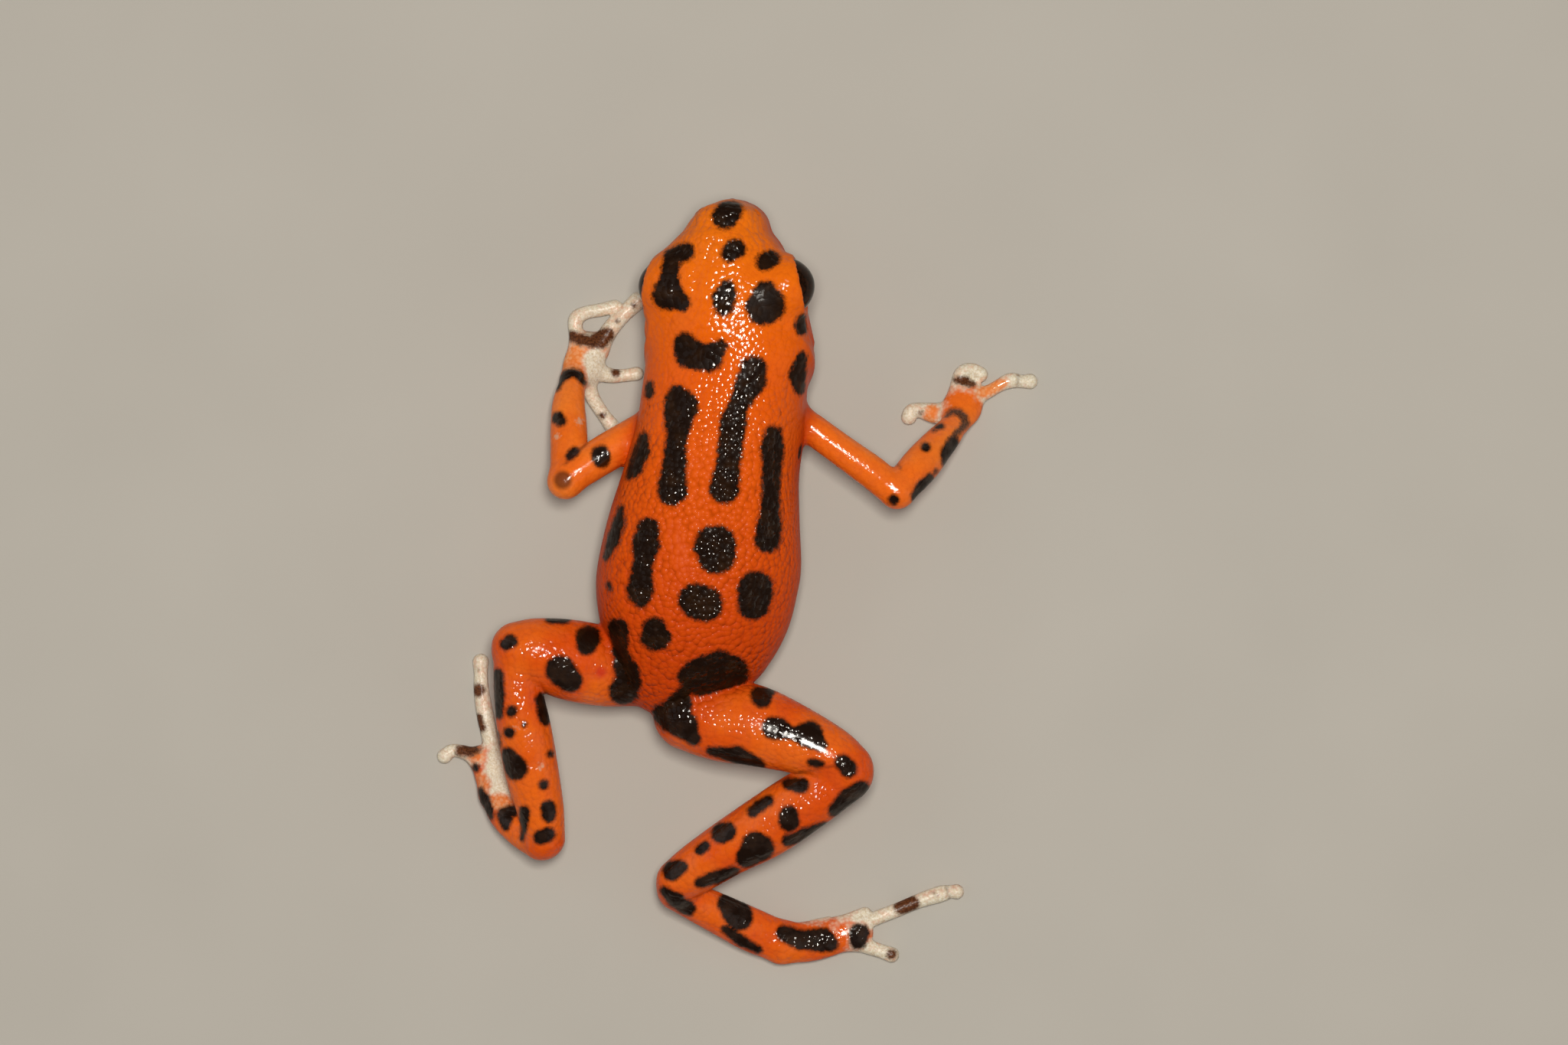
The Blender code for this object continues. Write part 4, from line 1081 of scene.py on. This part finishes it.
kept.update(spot=spot, pale=pale, limbness=limbness, flank=flank)
kept.update(side=side, steep=steep, groove=groove)
for name, values in kept.items():  # one number for each point of the skin, for the material to read
    numbers = skin.data.attributes.new(name, "FLOAT", "POINT").data
    numbers.foreach_set("value", np.ascontiguousarray(values, np.float32))
print("kept for the material:", ", ".join(kept))


# %% [markdown]
# ## A small language for materials
# A material is a graph of nodes. Sums written as plain Python are easier to read than a page of node
# links, so a wire knows how to add, subtract, multiply and divide, and one method makes every other
# node from its type, its settings and what its sockets get.

# %% Wires and the material maker
class Wire:
    """A socket of a material that takes part in plain sums."""

    def __init__(self, maker, socket):
        self.maker, self.socket = maker, socket

    def _sum(self, operation, first, second):
        """Adds one Math node."""
        return self.maker.node("ShaderNodeMath", {"operation": operation}, {0: first, 1: second})

    def __add__(self, other):
        return self._sum("ADD", self, other)

    __radd__ = __add__

    def __sub__(self, other):
        return self._sum("SUBTRACT", self, other)

    def __rsub__(self, other):
        return self._sum("SUBTRACT", other, self)

    def __mul__(self, other):
        return self._sum("MULTIPLY", self, other)

    __rmul__ = __mul__

    def __truediv__(self, other):
        return self._sum("DIVIDE", self, other)

    def __rtruediv__(self, other):
        return self._sum("DIVIDE", other, self)


class Finish:
    """A material under construction."""

    def __init__(self, name):
        self.material = bpy.data.materials.new(name)
        self.material.use_nodes = True
        self.nodes = self.material.node_tree.nodes
        self.links = self.material.node_tree.links
        self.shader = self.nodes["Principled BSDF"]

    def give(self, node, sockets):
        """Sets a node's sockets to values, or links them to wires."""
        for key, value in sockets.items():
            socket = node.inputs[key]
            if isinstance(value, Wire):
                self.links.new(value.socket, socket)
            else:
                socket.default_value = value

    def node(self, kind, settings=None, sockets=None, output=0):
        """Adds a node, sets it up, fills its sockets and hands back one of its outputs."""
        made = self.nodes.new(kind)
        for key, value in (settings or {}).items():
            if key == "stops":
                ramp = made.color_ramp
                while len(ramp.elements) < len(value):
                    ramp.elements.new(0.5)
                for element, (place, colour) in zip(ramp.elements, value):
                    element.position, element.color = place, (*colour, 1)
            else:
                setattr(made, key, value)
        self.give(made, sockets or {})
        return Wire(self, made.outputs[output])

    def surface(self, **sockets):
        """Sets or links sockets of the Principled shader, spaces written as underscores."""
        self.give(self.shader, {key.replace("_", " "): value for key, value in sockets.items()})

    def blend(self, share, sockets):
        """Gives way by share to a second Principled shader with these sockets."""
        second = self.node("ShaderNodeBsdfPrincipled", {}, sockets)
        first = Wire(self, self.shader.outputs[0])
        both = self.node("ShaderNodeMixShader", {}, {0: share, 1: first, 2: second})
        self.give(self.nodes["Material Output"], {"Surface": both})

    def stored(self, name):
        """The number that each point of the piece keeps under a name."""
        return self.node("ShaderNodeAttribute", {"attribute_name": name}, output="Fac")

    def place(self):
        """Object coordinates, in metres."""
        return self.node("ShaderNodeTexCoord", output="Object")

    def noise(self, size, detail=2.0, roughness=0.5, shift=0.0):
        """Soft noise about 0.5 whose blotches are about size millimetres wide."""
        moved = {0: self.place(), 1: (shift,) * 3}
        place = self.node("ShaderNodeVectorMath", {"operation": "ADD"}, moved)
        sockets = {"Vector": place, "Scale": 1 / (size * MM), "Detail": detail, "Roughness": roughness}
        return self.node("ShaderNodeTexNoise", {}, sockets)

    def grains(self, size, output="Distance"):
        """Cells about size millimetres wide: 0 in the middle of each, growing to its edge."""
        sockets = {"Vector": self.place(), "Scale": 1 / (size * MM), "Randomness": 0.95}
        return self.node("ShaderNodeTexVoronoi", {}, sockets, output)

    def step(self, value, start, end):
        """0 below start, 1 above end, smooth between them; start may be the greater."""
        settings = {"interpolation_type": "SMOOTHSTEP"}
        sockets = {"Value": value, "From Min": start, "From Max": end}
        return self.node("ShaderNodeMapRange", settings, sockets)

    def mix(self, share, first, second):
        """The first colour where share is 0, the second where it is 1."""
        first, second = (c if isinstance(c, Wire) else (*c, 1) for c in (first, second))
        return self.node("ShaderNodeMix", {"data_type": "RGBA"}, {0: share, 6: first, 7: second}, 2)

    def bump(self, height):
        """A normal bent by a height in millimetres."""
        return self.node("ShaderNodeBump", {}, {"Height": height, "Distance": MM, "Strength": 1.0})


def paint(red, green, blue):
    """A colour in light's own units from the 0 to 255 numbers that a picture shows."""
    values = [v / 255 for v in (red, green, blue)]
    return tuple(v / 12.92 if v <= 0.04045 else ((v + 0.055) / 1.055) ** 2.4 for v in values)


# %% [markdown]
# ## Wet skin
# Poison frogs are wet and finely granular: the colour sits under a film of water, and each grain
# throws back its own tiny point of the lamp. So the gloss is sharp and the bump is fine, and a
# highlight on the back breaks up into sparks, while on the smoother limbs it stays a broken streak.
# Grains stand highest toward the rump and lower on the head and flanks, and turn to scales on the
# pale digits. The orange of the back and the steep sides are duller than the black, so a second
# shader, with hardly any gloss, is mixed in there, and on about half the grains of the black spots,
# so that the sparks of the others stand apart. On the limbs a film of water fills the hollows
# between the grains.

# %% Grain and place
wet = Finish("wet_skin")
limb_share = wet.stored("limbness")
flank_shade_share = wet.stored("flank")
GRAIN, SCALE = 0.22, 0.14  # millimetres across a grain of the back and a scale of a digit
grain, scale = wet.grains(GRAIN), wet.grains(SCALE)
fine = wet.noise(0.07, 2, 0.6)
cloud = wet.noise(2.6, 2, 0.5)
patch = wet.noise(0.55, 2, 0.5, 0.004)
ahead = wet.node("ShaderNodeSeparateXYZ", {}, {0: wet.place()}, 1) / MM  # millimetres to the snout
rough_share = wet.step(ahead, 9.0, -1.0) * (1.0 - limb_share)  # 0 on the head, 1 on the rump

# %% Orange skin
stops = [  # from the vent to the tip of the snout
    (0.0, paint(198, 64, 4)),
    (0.22, paint(216, 76, 4)),
    (0.45, paint(230, 90, 5)),
    (0.68, paint(238, 97, 6)),
    (0.84, paint(242, 110, 9)),
    (1.0, paint(243, 120, 14)),
]
trunk_orange = wet.node("ShaderNodeValToRGB", {"stops": stops}, {0: (ahead + 5) / 19})
# painted shade: the orange turns deep red down the flanks and under the belly
trunk_orange = wet.mix(flank_shade_share * 0.85, trunk_orange, paint(186, 48, 3))
clouded = wet.step(cloud, 0.35, 0.68)
leg_orange = wet.mix(clouded, paint(222, 80, 10), paint(238, 106, 22))
arm_orange = wet.mix(clouded, paint(244, 112, 26), paint(250, 132, 44))
limb_orange = wet.mix(wet.step(ahead, 0.5, 3.0), leg_orange, arm_orange)
orange = wet.mix(limb_share, trunk_orange, limb_orange)
# darker red in the hollows between grains: partly the skin's own tone, partly painted shade
hollow_tint_and_shade = wet.step(grain, 0.25, 0.80) * (0.10 + rough_share * 0.10)  # the skin between two grains
# small pale cream patches on the limbs, with a ragged edge
pale_patch_edge = wet.stored("worn") + (patch - 0.5) * 0.25 + (scale - 0.4) * 0.20
for share, tint in (
    (wet.step(patch, 0.58, 0.8) * 0.14, paint(205, 52, 4)),
    (wet.step(fine, 0.5, 0.8) * 0.22, paint(196, 50, 3)),
    (hollow_tint_and_shade, paint(172, 34, 2)),
    (wet.step(wet.stored("faint"), 0.12, -0.12) * 0.82, paint(80, 38, 15)),
    (wet.step(wet.stored("rosy"), 0.16, -0.12) * 0.7, paint(196, 30, 10)),
    (wet.step(pale_patch_edge, 0.08, -0.08) * 0.6, paint(214, 186, 158)),
):
    orange = wet.mix(share, orange, tint)

# %% Pale digits, brown bands and black spots
cream = wet.mix(wet.step(fine, 0.3, 0.7), paint(222, 206, 176), paint(242, 236, 220))
cream = wet.mix(wet.step(scale, 0.40, 0.75) * 0.16, cream, paint(160, 126, 90))
peach = wet.mix(wet.step(scale, 0.35, 0.7), paint(250, 196, 140), paint(240, 160, 92))
coral = wet.step(wet.stored("warm"), 0.22, -0.04) * (patch * 0.7 + 0.1)
orange = wet.mix(coral, orange, peach)
pale_edge = wet.stored("pale") + (patch - 0.5) * 0.26 + (scale - 0.4) * 0.10 + (fine - 0.5) * 0.08
pale_share = wet.step(pale_edge, 0.15, -0.15)
skin_colour = wet.mix(pale_share, orange, cream)

black = wet.mix(wet.step(patch, 0.4, 0.75), paint(26, 11, 3), paint(44, 24, 8))
brown = wet.mix(wet.step(fine, 0.35, 0.65), paint(70, 34, 14), paint(108, 62, 32))
band_edge = wet.stored("band") + (patch - 0.5) * 0.16 + (scale - 0.4) * 0.08 + (fine - 0.5) * 0.08
skin_colour = wet.mix(wet.step(band_edge, 0.12, -0.09), skin_colour, brown)
ragged = (fine - 0.5) * 0.20 + (grain - 0.4) * 0.14 + (patch - 0.5) * 0.05
spot_edge = wet.stored("spot") + ragged * (1.0 - limb_share * 0.45)
spot_share = wet.step(spot_edge, limb_share * -0.02 + 0.13, -0.10)
skin_colour = wet.mix(spot_share, skin_colour, black)
# painted shade in the mouth's line, the nostril pits and the creases
skin_colour = wet.mix(wet.stored("groove") * 0.8, skin_colour, paint(60, 14, 4))

# %% Relief and gloss
leg_share = wet.step(ahead, 0.0, -3.0) * limb_share
middle_share = wet.step(ahead, 9.0, 6.0) * wet.step(ahead, -1.0, 3.0) * (1.0 - limb_share)
snout_share = wet.step(ahead, 11.8, 13.2)
dome_height = rough_share * 0.052 + middle_share * 0.030 + snout_share * 0.034 + 0.027
dome_height = dome_height + leg_share * 0.022 - limb_share * 0.012
dome_height = dome_height * patch * 2.0
steep = wet.stored("steep")
matt_mark = wet.step(wet.stored("dull"), 0.10, -0.05) * 0.9
dome_height = dome_height * (1.0 - wet.stored("side") * 0.6) * (1.0 - pale_share * 0.6)
dome_height = dome_height * (1.0 - steep * spot_share * 0.7) * (1.0 - matt_mark * 0.6)
luck = wet.node("ShaderNodeSeparateColor", {}, {0: wet.grains(GRAIN, "Color")})  # one to a grain
dry_grain = wet.step(luck, 0.46, 0.50) * spot_share * (1.0 - limb_share)
scale_height = limb_share * 0.004 + pale_share * 0.006 + 0.004
relief = grain * grain * dome_height + scale * scale * scale_height
grained = wet.bump(relief * -1.0)
wet.surface(
    Base_Color=skin_colour,
    Roughness=0.09 + fine * 0.04 + pale_share * 0.25,
    Normal=grained,
    IOR=1.36,
    Coat_Weight=limb_share * (1.0 - pale_share) * wet.step(patch, 0.38, 0.54) * 0.9,
    Coat_Roughness=0.14,
    Coat_IOR=1.4,
)
matt_back = wet.step(ahead, 6.6, 4.8) * (1.0 - spot_share) * (1.0 - limb_share) * 0.92
matt_share = 1.0 - (1.0 - matt_back) * (1.0 - matt_mark) * (1.0 - steep * 0.7) * (1.0 - dry_grain * 0.9)
matt = {"Base Color": skin_colour, "Normal": grained, "Roughness": 0.5, "Specular IOR Level": 0.1}
wet.blend(matt_share, matt)
skin.data.materials.append(wet.material)
print("nodes in the skin's material:", len(wet.nodes))


# %% [markdown]
# ## Eyes
# The eye looks solid black in the photograph, yet its iris is a very dark brown round a pupil that
# lies level, under a clear bulging cornea. A sphere would be quicker, but a ball turned from a
# profile has that bulge, and the strong clear gloss is what makes it read as an eye.

# %% Build an eye
CORNEA_BULGE, CORNEA_ANGLE = 0.035, 0.55  # how far it stands out, and its half angle in radians
PUPIL_STRETCH = 0.45  # how much of a square along the head is left out, which draws the pupil long
PUPIL_EDGE = (0.10, 0.16)  # squares of the distance at which it turns into the iris


def turned(name, centre, axis, profile, sides):
    """A closed solid of revolution: profile holds distance along the axis and radius."""
    across = unit(np.cross(axis, UP))
    over = np.cross(across, axis)
    angles = np.arange(sides) * 2 * math.pi / sides
    circle = np.outer(np.cos(angles), across) + np.outer(np.sin(angles), over)
    rings = [centre + axis * along + circle * radius for along, radius in profile[1:-1]]
    points = np.vstack([centre + axis * profile[0][0], *rings, centre + axis * profile[-1][0]])
    faces = []
    last = 1 + (len(profile) - 3) * sides
    for k in range(sides):
        after = (k + 1) % sides
        faces.append((0, 1 + after, 1 + k))
        for ring in range(1, last, sides):
            faces.append((ring + k, ring + after, ring + sides + after, ring + sides + k))
        faces.append((last + k, last + after, len(points) - 1))
    made = mesh_object(name, points, faces)
    bm = bmesh.new()
    bm.from_mesh(made.data)
    bmesh.ops.recalc_face_normals(bm, faces=bm.faces)
    bm.to_mesh(made.data)
    bm.free()
    return made


def eye_profile(count=40):
    """The eyeball with the low bulge of the cornea at its front."""
    angles = np.linspace(math.pi, 0, count)
    radii = EYE_RADIUS - CORNEA_BULGE + CORNEA_BULGE * np.exp(-((angles / CORNEA_ANGLE) ** 2))
    return np.stack([radii * np.cos(angles), radii * np.sin(angles)], axis=1)


def eye_finish(name, centre, axis, ahead):
    """Black-brown iris round a pupil that is longer than it is high."""
    look = Finish(name)
    kind, front = "ShaderNodeVectorMath", tuple(as_metres(centre + axis * EYE_RADIUS))
    offset = look.node(kind, {"operation": "SUBTRACT"}, {0: look.place(), 1: front})
    along = look.node(kind, {"operation": "DOT_PRODUCT"}, {0: offset, 1: tuple(ahead)}, "Value")
    away = look.node(kind, {"operation": "LENGTH"}, {0: offset}, "Value")
    squared = away * away - along * along * PUPIL_STRETCH
    ring = look.step(squared / (MM * MM), *PUPIL_EDGE)
    streak = look.noise(0.12, 2, 0.6)
    iris = look.mix(look.step(streak, 0.3, 0.7), paint(18, 8, 4), paint(46, 23, 9))
    colour = look.mix(ring, paint(4, 3, 2), iris)
    look.surface(Base_Color=colour, Roughness=0.03, IOR=1.28, Specular_IOR_Level=0.35)
    return look.material


for name, (centre, axis, forward, _) in EYES.items():
    ball = turned(name + "_ball", centre, axis, eye_profile(), 48)
    ball.data.materials.append(eye_finish(name + "_gloss", centre, axis, forward))
    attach(ball, "root")
    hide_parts(name)
    print(name, "at", np.round(centre, 2).tolist())


# %% [markdown]
# ## Floor and light
# The model stands on a plain pale floor. The photograph was lit by a flash close to the lens, which
# puts each highlight on the part of a form that faces the camera, so the main lamp hangs beside the
# camera. Two large soft lamps and a weak sky keep the sides readable.

# %% Floor
FLOOR_HALF = 900
corners = [(x * FLOOR_HALF, y * FLOOR_HALF, 0) for x, y in ((-1, -1), (1, -1), (1, 1), (-1, 1))]
floor = mesh_object("floor", corners, [(0, 1, 2, 3)])
stone = Finish("pale_floor")
tint = stone.mix(stone.noise(9, 2), paint(180, 175, 167), paint(188, 183, 175))
stone.surface(Base_Color=tint, Roughness=0.75)
floor.data.materials.append(stone.material)


# %% Lamps
def lamp(name, place, aim, wide, high, power, colour=(1, 1, 1)):
    """A soft lamp, its place, aim and sides in millimetres."""
    data = bpy.data.lights.new(name, "AREA")
    data.shape = "RECTANGLE"
    data.size, data.size_y = wide * MM, high * MM
    data.energy, data.color = power, colour
    made = bpy.data.objects.new(name, data)
    made.location = as_metres(place)
    made.rotation_euler = (Vector(aim) - Vector(place)).to_track_quat("-Z", "Y").to_euler()
    bpy.context.scene.collection.objects.link(made)
    print("lamp", name, "of", power, "W")


BACK = (0, 0, 3)  # what the lamps are aimed at
lamp("flash", (6, 16, 255), BACK, 38, 54, 0.51, (1.0, 0.96, 0.88))
lamp("soft_left", (-260, 60, 200), BACK, 300, 300, 0.07)
lamp("soft_right", (240, -120, 180), BACK, 300, 300, 0.05)

world = bpy.data.worlds.new("studio")
bpy.context.scene.world = world
world.use_nodes = True
sky = world.node_tree.nodes["Background"]
sky.inputs["Color"].default_value = (1, 0.99, 0.97, 1)
sky.inputs["Strength"].default_value = 0.11
bpy.context.scene.view_settings.view_transform = "Standard"
